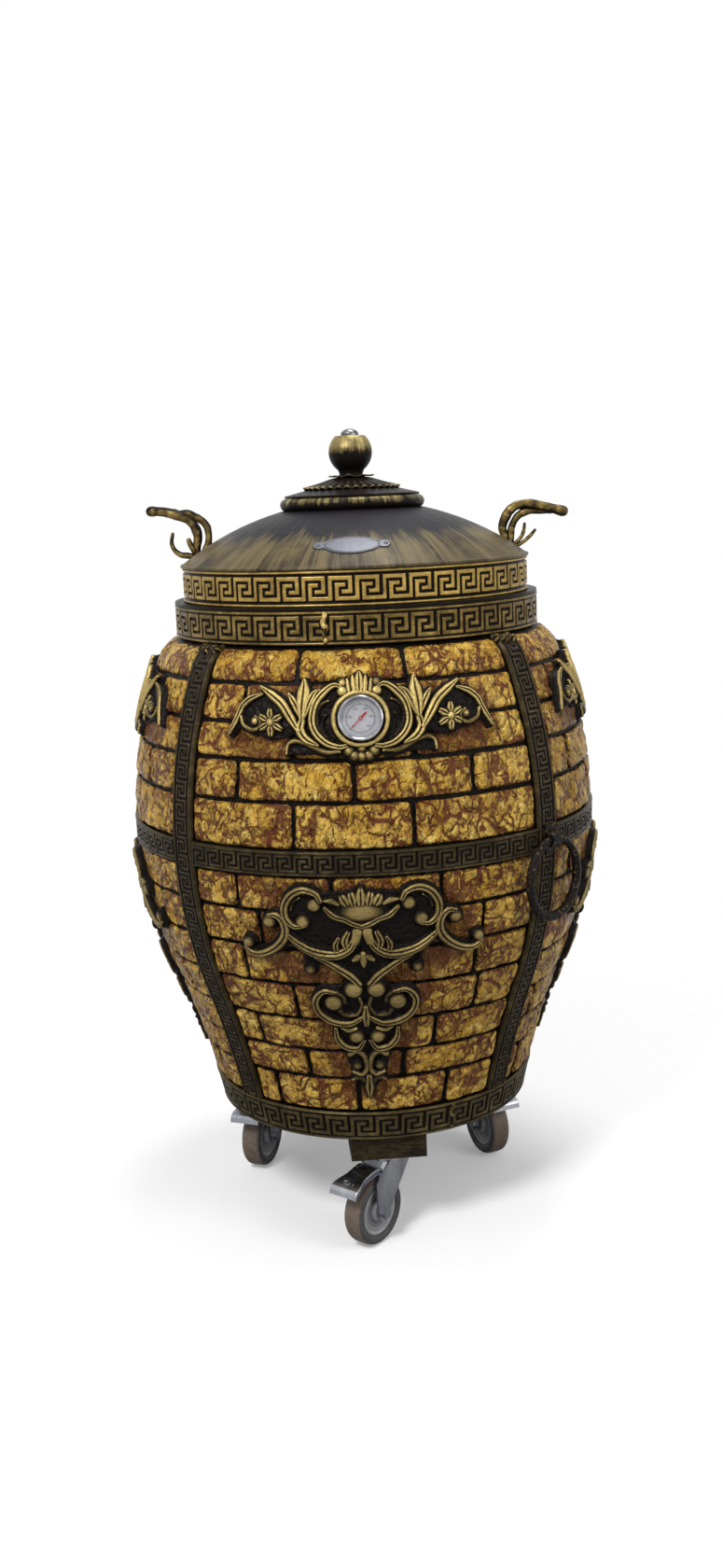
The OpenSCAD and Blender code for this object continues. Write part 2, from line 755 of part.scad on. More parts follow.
head_r = 27;
head_h = 14;
fork_in = wheel_w / 2 + 3;
crown_top = caster_h - 2;
module fork_side() {
    linear_extrude(fork_t)
        difference() {
            union() {
                polygon([[-18, crown_top - 2], [22, crown_top - 2], [trail + 16, 98],
                    [trail + 13, wheel_r], [trail - 13, wheel_r], [-24, 112]]);
                translate([trail, wheel_r])
                    circle(13);
            }
            translate([trail, wheel_r])
                circle(axle_r + seat);
        }
}
pedal_x = trail + 2;
pedal_z = 2 * wheel_r + 7;
pedal_pin_r = 3;
module fork(i) {
    color("lightsteelblue")
        at_caster(i) {
            translate([0, 0, crown_top - fork_t - 2])
                cylinder(r = head_r, h = fork_t + 2);
            translate([0, 0, crown_top])
                cylinder(r = head_r - 6, h = 1.7);
            translate([0, 0, crown_top])
                cylinder(r = stem_r, h = pad_h - 6);
            for (s = [-1, 1])
                translate([0, s * (fork_in + fork_t / 2) + fork_t / 2, 0])
                    rotate([90, 0, 0])
                        fork_side();
            translate([-18, -fork_in - 0.5, crown_top - fork_t - 2])
                cube([40, 2 * fork_in + 1, fork_t]);
            for (s = [-1, 1])
                translate([pedal_x, s * (fork_in - 1.5), pedal_z])
                    rotate([90, 0, 0])
                        cylinder(r = pedal_pin_r, h = 4, center = true);
        }
}
module axle(i) {
    color("silver")
        at_caster(i)
            translate([trail, 0, wheel_r])
                rotate([90, 0, 0]) {
                    cylinder(r = axle_r, h = 2 * (fork_in + fork_t) + 4, center = true);
                    for (s = [-1, 1])
                        translate([0, 0, s * (fork_in + fork_t + 3)])
                            cylinder(r = 8.5, h = 6, center = true, $fn = 6);
                }
}
hub_r = 36;
module hub(i) {
    color("gainsboro")
        at_caster(i)
            translate([trail, 0, wheel_r])
                rotate([90, 0, 0])
                    difference() {
                        union() {
                            cylinder(r = hub_r, h = wheel_w - 8, center = true);
                            cylinder(r = 14, h = 2 * fork_in - 1, center = true);
                        }
                        cylinder(r = axle_r + running_gap, h = 60, center = true);
                        for (s = [-1, 1])
                            translate([0, 0, s * (wheel_w / 2 - 4)])
                                difference() {
                                    cylinder(r = hub_r - 5, h = 8, center = true);
                                    cylinder(r = 16, h = 20, center = true);
                                }
                    }
}
module tyre(i) {
    half = wheel_w / 2;
    color("rosybrown")
        at_caster(i)
            translate([trail, 0, wheel_r])
                rotate([90, 0, 0])
                    rotate_extrude()
                        polygon([[hub_r, -half + 4], [wheel_r - 8, -half], [wheel_r - 3, -half + 2],
                            [wheel_r, -half + 8], [wheel_r, half - 8], [wheel_r - 3, half - 2],
                            [wheel_r - 8, half], [hub_r, half - 4]]);
}
module pedal(i) {
    color("steelblue")
        at_caster(i)
            translate([pedal_x, 0, pedal_z])
                difference() {
                    rotate([90, 0, 0])
                        linear_extrude(2 * fork_in - 4.4, center = true)
                            polygon([[-7, 2], [-4, 8], [6, 10], [46, 3], [60, -3], [63, -10],
                                [59, -10], [56, -6], [44, -2], [6, 5], [4, -4], [-4, -5]]);
                    rotate([90, 0, 0])
                        cylinder(r = pedal_pin_r + running_gap, h = 60, center = true);
                }
}

// ---- fire grate, air duct and door ----
grate_r = wall_line(ledge_z) - pot_in - 3;
grate_t = 10;
module fire_grate() {
    slot_w = 12;
    bar_w = 14;
    rim = 14;
    rows = floor((grate_r - 2 * rim) / (slot_w + bar_w));
    color("darkslategray")
        translate([0, 0, ledge_z])
            difference() {
                cylinder(r = grate_r, h = grate_t);
                for (i = [-rows : rows]) {
                    y = i * (slot_w + bar_w);
                    half = sqrt(pow(grate_r - rim, 2) - pow(abs(y) + slot_w / 2, 2));
                    translate([-half, y - slot_w / 2, -1])
                        cube([half * 2, slot_w, grate_t + 2]);
                }
            }
}

duct_back = 128;
module air_duct() {
    color("gray")
        difference() {
            translate([-duct_w / 2, duct_back, door_z - duct_h / 2])
                cube([duct_w, frame_face - duct_back, duct_h]);
            translate([-duct_w / 2 + duct_t, duct_back - 1, door_z - duct_h / 2 + duct_t])
                cube([duct_w - 2 * duct_t, 300, duct_h - 2 * duct_t]);
        }
}

hinge_x = frame_w / 2 + 1;
hinge_y = frame_face + 5;
knuckle_r = hinge_pin_r + 1.5;
knuckle_h = 16;
module door_frame() {
    color("black")
        difference() {
            union() {
                translate([-frame_w / 2, frame_back, door_z - frame_h / 2])
                    cube([frame_w, frame_face - frame_back, frame_h]);
                for (s = [-1, 1])
                    translate([hinge_x, hinge_y, door_z + s * (knuckle_h * 1.5 + 8.25)])
                        cylinder(r = knuckle_r, h = knuckle_h, center = true);
                for (s = [-1, 1])
                    translate([hinge_x - 10, frame_face - 6,
                            door_z + s * (knuckle_h * 1.5 + 8.25) - knuckle_h / 2])
                        cube([10, hinge_y - frame_face + 6, knuckle_h]);
            }
            translate([-duct_w / 2 - seat, frame_back - 1, door_z - duct_h / 2 - seat])
                cube([duct_w + 2 * seat, 200, duct_h + 2 * seat]);
            translate([-frame_w / 2 + frame_wall, frame_back - 1, door_z - frame_h / 2 + frame_wall])
                cube([frame_w - 2 * frame_wall, frame_face - frame_back + 1 - frame_wall,
                    frame_h - 2 * frame_wall]);
            translate([hinge_x, hinge_y, door_z])
                cylinder(r = hinge_pin_r + seat, h = frame_h + 50, center = true);
        }
}
module door_hinge_pin() {
    color("silver")
        translate([hinge_x, hinge_y, door_z]) {
            cylinder(r = hinge_pin_r, h = 4 * knuckle_h + 17, center = true);
            translate([0, 0, 2 * knuckle_h + 8.5])
                cylinder(r = hinge_pin_r + 2, h = 3);
        }
}
module ash_door() {
    gap = 0.5;
    color("black")
        difference() {
            union() {
                translate([-frame_w / 2 + 3, frame_face + gap, door_z - frame_h / 2 + 3])
                    cube([frame_w - 14, door_t, frame_h - 6]);
                translate([hinge_x, hinge_y, door_z])
                    cylinder(r = knuckle_r, h = 2 * knuckle_h + 16, center = true);
                translate([frame_w / 2 - 12, frame_face + gap, door_z - knuckle_h - 8])
                    cube([13, door_t, 2 * knuckle_h + 16]);
            }
            translate([hinge_x, hinge_y, door_z])
                cylinder(r = hinge_pin_r + running_gap, h = frame_h + 50, center = true);
        }
}
module door_knob() {
    color("silver")
        translate([-frame_w / 2 + 16, frame_face + 0.5 + door_t, door_z])
            rotate([-90, 0, 0]) {
                cylinder(r = 5, h = 12);
                translate([0, 0, 12])
                    cylinder(r = 11, h = 9);
            }
}

// ---- thermometer ----
module gauge_socket() {
    color("gray")
        on_barrel(0, gauge_z)
            difference() {
                union() {
                    translate([0, 0, -pot_out - 20])
                        cylinder(r = socket_r, h = pot_out + 20 - brick_depth + 1);
                    translate([0, 0, -brick_depth - 4])
                        cylinder(r = socket_flange_r, h = 6);
                }
                translate([0, 0, -pot_out - 21])
                    cylinder(r = probe_r + seat, h = pot_out + 30);
            }
}
case_back = 2 - brick_depth;
module gauge_case() {
    color("silver")
        on_barrel(0, gauge_z)
            difference() {
                translate([0, 0, case_back])
                    cylinder(r = case_r, h = gauge_stand - 4 - case_back);
                translate([0, 0, case_back + 3])
                    cylinder(r = case_r - 2, h = 60);
                translate([0, 0, case_back - 1])
                    cylinder(r = probe_r + seat, h = 10);
            }
}
dial_z = gauge_stand - 9;
module gauge_bezel() {
    color("gainsboro")
        on_barrel(0, gauge_z)
            rotate_extrude()
                polygon([[case_r + 0.1, gauge_stand - 10], [gauge_r - 0.6, gauge_stand - 10],
                    [gauge_r, gauge_stand - 9], [gauge_r, gauge_stand - 3],
                    [gauge_r - 1, gauge_stand - 1], [gauge_r - 2.5, gauge_stand],
                    [gauge_r - 4, gauge_stand - 1.2], [gauge_r - 4.5, gauge_stand - 3],
                    [case_r + 0.1, gauge_stand - 4]]);
}
module gauge_dial() {
    color("white")
        on_barrel(0, gauge_z) {
            translate([0, 0, dial_z - 1])
                cylinder(r = case_r - 2.1, h = 1);
            translate([0, 0, dial_z])
                cylinder(r = 1.2, h = 3);
        }
}
module gauge_glass() {
    color("lightblue")
        on_barrel(0, gauge_z, gauge_stand - 5.4)
            cylinder(r = case_r - 2.1, h = 1.2);
}
module gauge_probe() {
    color("silver")
        on_barrel(0, gauge_z)
            translate([0, 0, -pot_in - 12])
                cylinder(r = probe_r, h = pot_in + 12 + dial_z - 1);
}
pointer_turn = 45;
module gauge_pointer() {
    color("red")
        on_barrel(0, gauge_z, dial_z + 1)
            rotate([0, 0, pointer_turn])
                difference() {
                    union() {
                        cylinder(r = 2.6, h = 1);
                        translate([-17, -0.5, 0])
                            cube([17, 1, 0.8]);
                        translate([0, -1.4, 0])
                            cube([11, 2.8, 0.8]);
                    }
                    translate([0, 0, -1])
                        cylinder(r = 1.2 + pivot_gap, h = 4);
                }
}

// ---- ring handles ----
ring_out = band_proud + ring_bar_r + 2.5;
ring_azimuths = [strap_az, 180 + strap_az];
module at_ring(k) {
    rotate([0, 0, ring_azimuths[k]])
        translate([0, -belly_r - ring_out, ring_z])
            children();
}
staple_ear = 14;
module ring_brackets() {
    // The ring's bar sags across the bracket's width
    inner = ring_bar_r + ring_r - sqrt(pow(ring_r, 2) - pow(staple_w / 2, 2)) + seat;
    wall = -ring_out + band_proud + seat;
    color("darkolivegreen")
        for (k = [0, 1])
            at_ring(k)
                rotate([90, 0, 90])
                    linear_extrude(staple_w, center = true)
                        difference() {
                            union() {
                                circle(inner + staple_t);
                                translate([0, -inner - staple_t])
                                    square([-wall, 2 * (inner + staple_t)]);
                                translate([-wall - staple_t, -inner - staple_ear])
                                    square([staple_t, 2 * (inner + staple_ear)]);
                            }
                            circle(inner);
                            translate([0, -inner])
                                square([20, 2 * inner]);
                        }
}
module ring(k) {
    color("dimgray")
        at_ring(k)
            translate([0, 0, -ring_r])
                rotate([90, 0, 0])
                    rotate_extrude()
                        translate([ring_r, 0])
                            circle(ring_bar_r, $fn = 32);
}

// ---- lid ----
lid_low = collar_top;
lid_top = lid_low + lid_band_h;
dome_centre = lid_top + 4 - sqrt(pow(dome_arc, 2) - pow(lid_r, 2));
function dome_z(r, arc = dome_arc) = dome_centre + sqrt(pow(arc, 2) - r * r);
function spread(low, high, n) = [for (i = [0 : n]) low + (high - low) * i / n];
sleeve_r = vent_r + vent_wall;

module lid_band() {
    color("gold")
        key_ring(lid_low, lid_top, lid_r, lid_r, lid_band_t, lid_keys);
}
module lid_dome() {
    rs = spread(sleeve_r + seat, lid_r - 1, 12);
    inner = dome_arc - dome_t;
    color("darkslategray")
        rotate_extrude()
            polygon(concat([for (r = rs) [r, dome_z(r)]],
                [[lid_r + 2, lid_top + 4], [lid_r + 3, lid_top + 2], [lid_r + 2, lid_top],
                    [lid_r - lid_band_t, lid_top]],
                [for (r = reversed(spread(sleeve_r + seat, lid_r - lid_band_t - 5, 12)))
                    [r, dome_z(r, inner)]]));
}
module lid_liner() {
    color("wheat")
        rotate_extrude()
            polygon([[sleeve_r + seat, lid_low - plug_h], [mouth_r - plug_gap - 6, lid_low - plug_h],
                [mouth_r - plug_gap, lid_low - plug_h + 6], [mouth_r - plug_gap, lid_low],
                [lid_r - lid_band_t - seat, lid_low], [lid_r - lid_band_t - seat, lid_low + liner_t],
                [sleeve_r + seat, lid_low + liner_t]]);
}
module vent_sleeve() {
    color("gray")
        rotate_extrude()
            polygon([[vent_r, lid_low - plug_h], [sleeve_r, lid_low - plug_h],
                [sleeve_r, dome_z(sleeve_r) + 4], [vent_r, dome_z(sleeve_r) + 4]]);
}
// How deep the rolled collar's tube is cut to sit on the dome
vent_sink = 2;
module vent_collar() {
    color("black")
        difference() {
            rotate_extrude()
                translate([vent_ring_r, dome_z(vent_ring_r) + vent_tube_r - vent_sink])
                    circle(vent_tube_r, $fn = 48);
            rotate_extrude()
                polygon(concat([for (r = spread(sleeve_r - 4, vent_ring_r + 20, 8)) [r, dome_z(r) + seat]],
                    [[vent_ring_r + 20, dome_centre], [sleeve_r - 4, dome_centre]]));
        }
}

// A forged bar along a path: round lengths with a swelling at each bend
module forged_bar(path, r0, r1) {
    n = len(path) - 1;
    for (i = [0 : n - 1]) {
        d = path[i + 1] - path[i];
        r = r0 + (r1 - r0) * i / n;
        translate(path[i])
            rotate([0, acos(d[2] / norm(d)), atan2(d[1], d[0])])
                cylinder(r = r, h = norm(d));
        translate(path[i + 1])
            sphere(r + 0.7, $fn = 24);
    }
}
// Handles are forged from bars: points run outwards, across and up from the lid's rim
left_bars = [
    [[[-21, 0, 8], [-21, 0, 25], [-24, 0, 44], [-19, 0, 59], [-9, 0, 69], [10, 0, 77],
        [29, 0, 81], [46, 0, 82]], 4, 5.2],
    [[[4, 3, 76], [-9, 7, 77], [-20, 9, 72], [-32, 10, 64], [-38, 10, 53], [-38, 10, 34],
        [-37, 10, 20]], 4.5, 3.6],
    [[[-20, -3, 14], [-11, -6, 16], [1, -8, 18], [10, -8, 25], [14, -8, 36], [11, -8, 51]],
        3, 1.8],
    [[[-20, -3, 20], [-13, -5, 32], [-10, -6, 42]], 3.2, 2.6]];
right_bars = [
    [[[-28, 0, 12], [-30, 0, 26], [-33, 0, 40], [-27, 0, 57], [-15, 0, 69], [3, 0, 72],
        [19, 0, 69], [41, 0, 64], [60, 0, 58]], 4, 5.2],
    [[[-20, 6, 8], [-21, 6, 24], [-19, 6, 39], [-11, 6, 54], [4, 5, 62], [19, 4, 63],
        [41, 2, 60]], 4.2, 4.2],
    [[[-16, 3, 15], [-7, 3, 23], [-2, 3, 33], [0, 3, 44]], 2.2, 1.8],
    [[[-14, 0, 14], [-6, 0, 16], [6, 0, 25], [15, 0, 34]], 2.2, 1.8]];
module lid_handle(bars) {
    color("saddlebrown")
        difference() {
            translate([lid_r, 0, lid_top])
                union() {
                    for (bar = bars)
                        forged_bar(bar[0], bar[1], bar[2]);
                    // Weld at the foot
                    translate([-20, 1, 14])
                        sphere(8, $fn = 24);
                }
            rotate_extrude()
                polygon(concat([for (r = spread(lid_r / 2, lid_r + 1, 12)) [r, dome_z(r) + seat]],
                    [[lid_r + 6, lid_top], [lid_r / 2, lid_top]]));
        }
}
module lid_handle_right() {
    lid_handle(right_bars);
}
module lid_handle_left() {
    mirror([1, 0, 0])
        lid_handle(left_bars);
}

// ---- vent cap ----
cap_low = dome_z(vent_ring_r) + 2 * vent_tube_r - vent_sink + seat;
rosette_z = cap_low + cap_t + cap_rise * (cap_r - rosette_r) / cap_r;
rosette_top = rosette_z + rosette_rise;
cap_bore = stud_r + 0.1;
module vent_cap_disc() {
    color("olive")
        difference() {
            rotate_extrude()
                polygon([[0, cap_low], [cap_r - 1, cap_low], [cap_r, cap_low + 1],
                    [cap_r, cap_low + cap_t], [rosette_r, rosette_z],
                    [ball_neck_r, rosette_top - petal_t], [0, rosette_top - petal_t]]);
            cylinder(r = cap_bore, h = 2000);
        }
}
module vent_rosette() {
    color("olive")
        intersection() {
            rotate_extrude()
                polygon([[cap_bore, rosette_top - petal_t], [ball_neck_r, rosette_top - petal_t],
                    [rosette_r, rosette_z], [rosette_r + 3, rosette_z], [rosette_r + 3, rosette_z + petal_t],
                    [rosette_r, rosette_z + petal_t], [ball_neck_r + 1, rosette_top],
                    [cap_bore, rosette_top]]);
            linear_extrude(2000)
                union() {
                    circle(rosette_r - 3);
                    for (i = [0 : ruffles - 1])
                        rotate(360 * i / ruffles)
                            translate([rosette_r - 7, 0])
                                circle(9.5, $fn = 32);
                }
        }
}
star_points = 8;
module star_washer() {
    color("olive")
        translate([0, 0, rosette_top])
            linear_extrude(petal_t)
                difference() {
                    union() {
                        circle(star_r - 6);
                        for (i = [0 : star_points - 1])
                            rotate(360 * i / star_points)
                                translate([star_r - 8, 0])
                                    circle(8, $fn = 32);
                    }
                    circle(cap_bore);
                }
}
neck_low = rosette_top + petal_t;
ball_z = neck_low + ball_rise;
nut_z = ball_z + ball_flat;
module ball_knob() {
    ball_points = [for (a = [-52 : 6.5 : asin(ball_flat / ball_r)])
        [ball_r * cos(a), ball_z + ball_r * sin(a)]];
    color("olive")
        rotate_extrude()
            polygon(concat([[cap_bore, neck_low], [ball_neck_r, neck_low],
                [ball_neck_r - 1, neck_low + 3]], ball_points,
                [[sqrt(pow(ball_r, 2) - pow(ball_flat, 2)), nut_z], [cap_bore, nut_z]]));
}
module cap_nut() {
    dome = [for (a = [0 : 10 : 90]) [cap_nut_r * cos(a), nut_z + 2 + (cap_nut_r - 5) * sin(a)]];
    color("silver")
        difference() {
            rotate_extrude()
                polygon(concat([[0, nut_z], [cap_nut_r, nut_z]], dome));
            translate([0, 0, nut_z - 1])
                cylinder(r = cap_bore, h = 6);
        }
}
module cap_stud() {
    color("silver") {
        translate([0, 0, cap_low - 12])
            cylinder(r = stud_r, h = nut_z + 4.5 - cap_low + 12);
        translate([0, 0, cap_low - 8])
            cylinder(r = 10, h = 8, $fn = 6);
    }
}

clay_pot();
hearth_bricks();
hearth_floor();
insulation_fill();
outer_shell();
brick_facing();
base_plate();
base_hoop();
belly_band();
vertical_straps();
neck_collar();
rim_plate();
upper_ornaments();
lower_ornaments();
caster_pads();
pad_bolts();
fire_grate();
air_duct();
door_frame();
door_hinge_pin();
ash_door();
door_knob();
gauge_socket();
gauge_case();
gauge_bezel();
gauge_dial();
gauge_glass();
gauge_probe();
gauge_pointer();
ring_brackets();
ring(0);  // ring_handle_front
ring(1);  // ring_handle_rear
lid_dome();
lid_band();
lid_liner();
vent_sleeve();
vent_collar();
lid_handle_left();
lid_handle_right();
vent_cap_disc();
vent_rosette();
star_washer();
ball_knob();
cap_nut();
cap_stud();
fork(0);  // caster_fork_front
axle(0);  // caster_axle_front
hub(0);  // caster_hub_front
tyre(0);  // caster_tyre_front
pedal(0);  // caster_pedal_front
fork(1);  // caster_fork_right
axle(1);  // caster_axle_right
hub(1);  // caster_hub_right
tyre(1);  // caster_tyre_right
pedal(1);  // caster_pedal_right
fork(2);  // caster_fork_left
axle(2);  // caster_axle_left
hub(2);  // caster_hub_left
tyre(2);  // caster_tyre_left
pedal(2);  // caster_pedal_left
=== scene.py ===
# %% [markdown]
# # A clay tandoor oven on casters
# The real oven is a clay pot in an insulated barrel. Its outside is hand-made: crumpled
# plaster bricks, cast scrolls and pressed key-pattern bands, all painted black first and
# then brushed with gold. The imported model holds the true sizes, so it is loaded first and
# every piece made here is laid over it, in metres, with the floor at zero.

# %% Load the frame
import bpy
import math
import numpy as np
from mathutils import Matrix, Vector


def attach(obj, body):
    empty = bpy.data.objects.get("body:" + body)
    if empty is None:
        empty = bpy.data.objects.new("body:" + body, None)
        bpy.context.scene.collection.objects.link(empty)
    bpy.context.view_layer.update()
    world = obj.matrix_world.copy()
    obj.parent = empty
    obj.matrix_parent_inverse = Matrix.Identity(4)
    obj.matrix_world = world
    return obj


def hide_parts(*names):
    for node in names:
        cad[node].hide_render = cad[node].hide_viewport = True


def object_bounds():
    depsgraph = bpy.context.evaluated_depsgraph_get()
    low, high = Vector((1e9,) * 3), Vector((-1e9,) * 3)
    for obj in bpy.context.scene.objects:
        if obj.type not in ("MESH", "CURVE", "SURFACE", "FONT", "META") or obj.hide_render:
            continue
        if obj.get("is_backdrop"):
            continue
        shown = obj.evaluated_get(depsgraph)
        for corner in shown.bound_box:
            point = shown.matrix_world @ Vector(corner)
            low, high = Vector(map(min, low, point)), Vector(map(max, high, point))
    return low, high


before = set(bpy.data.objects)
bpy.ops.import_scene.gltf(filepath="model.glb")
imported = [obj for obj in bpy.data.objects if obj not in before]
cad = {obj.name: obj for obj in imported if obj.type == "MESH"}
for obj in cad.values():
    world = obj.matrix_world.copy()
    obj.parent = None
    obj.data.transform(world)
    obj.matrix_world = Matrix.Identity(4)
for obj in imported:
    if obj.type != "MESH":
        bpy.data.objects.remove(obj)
cad_low, cad_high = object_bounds()
MM = 0.001
print("CAD box", [round(v, 4) for v in cad_high - cad_low])

# %% [markdown]
# ## The camera
# A photograph is matched by placing the camera first. The view was worked out from the
# level bands, which show as ellipses: the lens is about 1.1 m up, 2.2 m from the barrel's
# axis, and looks a little down with a slight tilt. The matrix is written from its three
# axes, because that keeps the tilt exact.

# %% Camera
cam_place = Vector((0.0, -2.211, 1.0617))
pitch, tilt, turn = (math.radians(a) for a in (11.098, 2.199, -0.056))
ahead = Vector((math.sin(turn) * math.cos(pitch), math.cos(turn) * math.cos(pitch),
                -math.sin(pitch)))
right = Vector((math.cos(turn), -math.sin(turn), 0))
up = right.cross(ahead)
cam_x = right * math.cos(tilt) - up * math.sin(tilt)
cam_y = right * math.sin(tilt) + up * math.cos(tilt)
camera = bpy.data.objects.new("camera", bpy.data.cameras.new("camera"))
bpy.context.scene.collection.objects.link(camera)
camera.matrix_world = Matrix.Translation(cam_place) @ Matrix(
    (cam_x, cam_y, -ahead)).transposed().to_4x4()
film_mm, focal_px, photo_high_px = 36, 1600, 1680
camera.data.lens = film_mm * focal_px / photo_high_px
camera.data.clip_end = 50
bpy.context.scene.camera = camera
print("lens", round(camera.data.lens, 2), "mm")

# %% [markdown]
# ## The barrel's wall
# Bricks, bands and scrolls all lie on one curved wall. Two small functions stand for it:
# one gives the wall's radius at a height, the other turns an azimuth, a height and a
# distance off the wall into a point. Working in millimetres keeps the numbers readable.

# %% The wall as functions
belly_r, belly_z, belly_arc = 340, 601, 600
waist_z, foot_r, foot_z = 386, 232, 160
shoulder_z, neck_z, neck_r = 838, 865, 263
brick_depth = 7


def arc_radius(z):
    return belly_r - belly_arc + np.sqrt(belly_arc ** 2 - (z - belly_z) ** 2)


def arc_slope(z):
    return -(z - belly_z) / np.sqrt(belly_arc ** 2 - (z - belly_z) ** 2)


def wall_radius(z):
    """Radius of the brick face at a height, all in millimetres."""
    z = np.asarray(z, float)
    run = waist_z - foot_z
    slope = 2 * (arc_radius(waist_z) - foot_r) / run - arc_slope(waist_z)
    d = z - foot_z
    foot = foot_r + slope * d + (arc_slope(waist_z) - slope) / (2 * run) * d * d
    lean, rise = arc_slope(shoulder_z), neck_z - shoulder_z
    drop = neck_r - arc_radius(shoulder_z) - lean * rise
    e = np.clip((z - shoulder_z) / rise, 0, 1)
    top = arc_radius(shoulder_z) + lean * e * rise + drop * e * e
    return np.where(z < waist_z, foot, np.where(z > shoulder_z, top, arc_radius(z)))


def on_wall(az, z, out=0.0):
    """Points off the wall, in metres: azimuth in degrees from the front towards +X."""
    az, z, out = np.broadcast_arrays(np.asarray(az, float), z, out)
    slope = (wall_radius(z + 1) - wall_radius(z - 1)) / 2
    n = 1 / np.sqrt(1 + slope ** 2)
    r = wall_radius(z) + out * n
    a = np.radians(az)
    return np.stack([r * np.sin(a), -r * np.cos(a), z - slope * out * n], -1) * MM


print("wall radius at the belly", wall_radius(belly_z), "and foot", wall_radius(foot_z))

# %% [markdown]
# ## Turning numbers into meshes
# Most surfaces here are sheets: a grid of points where each row runs along the piece.
# One helper makes the mesh, drops the faces that aren't wanted, and stores extra values
# on the points, such as how raised they are, for the materials to read.

# %% Sheet helper
def sheet(name, points, body, keep=None, marks=None, loop=False):
    """A smooth mesh from a grid of points, riding on a body of the model."""
    rows, cols = points.shape[:2]
    index = np.arange(rows * cols).reshape(rows, cols)
    if loop:
        index = np.concatenate([index, index[:, :1]], 1)
    quads = np.stack([index[:-1, :-1], index[:-1, 1:], index[1:, 1:], index[1:, :-1]],
                     -1).reshape(-1, 4)
    if keep is not None:
        quads = quads[keep.ravel()[quads].all(1)]
    used, quads = np.unique(quads, return_inverse=True)
    quads = quads.reshape(-1, 4)
    mesh = bpy.data.meshes.new(name)
    mesh.vertices.add(len(used))
    mesh.vertices.foreach_set("co", points.reshape(-1, 3)[used].astype(np.float32).ravel())
    mesh.loops.add(quads.size)
    mesh.loops.foreach_set("vertex_index", quads.ravel().astype(np.int32))
    mesh.polygons.add(len(quads))
    mesh.polygons.foreach_set("loop_start", np.arange(0, quads.size, 4, dtype=np.int32))
    mesh.update(calc_edges=True)
    mesh.polygons.foreach_set("use_smooth", np.ones(len(quads), bool))
    for mark, values in (marks or {}).items():
        layer = mesh.attributes.new(mark, "FLOAT", "POINT")
        layer.data.foreach_set("value", values.ravel()[used].astype(np.float32))
    piece = bpy.data.objects.new(name, mesh)
    bpy.context.scene.collection.objects.link(piece)
    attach(piece, body)
    return piece


def join(name, pieces):
    """Joins several sheets into one piece, keeping their marks."""
    with bpy.context.temp_override(active_object=pieces[0], object=pieces[0],
                                   selected_objects=pieces,
                                   selected_editable_objects=pieces):
        bpy.ops.object.join()
    pieces[0].name = name
    pieces[0].data.name = name
    return pieces[0]


# %% [markdown]
# ## Steady noise
# Plaster and paint are never even. This noise gives every point of a lattice its own
# steady value, so the oven comes out the same each time the script runs. The second
# function makes a crumpled sheet: each cell holds a tilted plane, the highest plane
# shows, and the valleys between planes become the creases.

# %% Noise and crumpling
def lattice(i, j, seed):
    n = np.sin(i * 127.1 + j * 311.7 + seed * 74.7) * 43758.5453
    return n - np.floor(n)


def soft_noise(x, y, seed=0):
    i, j = np.floor(x), np.floor(y)
    u, v = x - i, y - j
    u, v = u * u * (3 - 2 * u), v * v * (3 - 2 * v)
    low = lattice(i, j, seed) * (1 - u) + lattice(i + 1, j, seed) * u
    high = lattice(i, j + 1, seed) * (1 - u) + lattice(i + 1, j + 1, seed) * u
    return low * (1 - v) + high * v


def crumple(x, y, seed):
    """Height of a crumpled sheet, and how close each point is to a crease."""
    i, j = np.floor(x), np.floor(y)
    first = np.full(np.shape(x), -9.0)
    second = first.copy()
    for di in (-1, 0, 1):
        for dj in (-1, 0, 1):
            a, b = i + di, j + dj
            dx = x - a - lattice(a, b, seed)
            dy = y - b - lattice(a, b, seed + 1)
            plane = ((lattice(a, b, seed + 2) - 0.5) * 1.5 * dx
                     + (lattice(a, b, seed + 3) - 0.5) * 1.5 * dy
                     + 0.3 * lattice(a, b, seed + 4) - 0.8 * (dx * dx + dy * dy))
            second = np.maximum(second, np.minimum(plane, first))
            first = np.maximum(first, plane)
    return first, np.exp(-(first - second) / 0.085)


def smooth(x, low, high):
    t = np.clip((x - low) / (high - low), 0, 1)
    return t * t * (3 - 2 * t)


# %% [markdown]
# ## Shared paint effects
# Two effects turn up on nearly every finish, so each is a node group with named sockets.
# "brushed gold" decides where the dry brush left gold: on what stands up, broken by
# streaks. Its brightest tone, on the highest ridges, is partly fuller gold and partly a
# painted highlight. "hand grain" gives the fine bump and uneven shine of a hand-painted coat.

# %% Node helpers
def group(name, inputs, outputs):
    tree = bpy.data.node_groups.new(name, "ShaderNodeTree")
    for label, value in inputs.items():
        kind = "NodeSocketColor" if isinstance(value, tuple) else "NodeSocketFloat"
        tree.interface.new_socket(label, in_out="INPUT", socket_type=kind).default_value = value
    for label, kind in outputs.items():
        tree.interface.new_socket(label, in_out="OUTPUT", socket_type="NodeSocket" + kind)
    return tree, tree.nodes.new("NodeGroupInput"), tree.nodes.new("NodeGroupOutput")


def add(tree, kind, values=None, links=None, **settings):
    """A node, with its settings, plain values and links given by socket name."""
    n = tree.nodes.new("ShaderNode" + kind)
    for k, v in settings.items():
        setattr(n, k, v)
    for k, v in (values or {}).items():
        n.inputs[k].default_value = v
    for k, v in (links or {}).items():
        tree.links.new(v, n.inputs[k])
    return n


def place(tree, stretch=(1, 1, 1), turn=(0, 0, 0)):
    """Object coordinates, stretched and turned, so that a pattern sticks to the piece."""
    spot = add(tree, "TexCoord")
    return add(tree, "Mapping", {"Scale": stretch, "Rotation": turn},
               {"Vector": spot.outputs["Object"]}).outputs[0]


def noise(tree, where, scale, detail=4.0, rough=0.6):
    return add(tree, "TexNoise", {"Scale": scale, "Detail": detail, "Roughness": rough},
               {"Vector": where}).outputs[0]


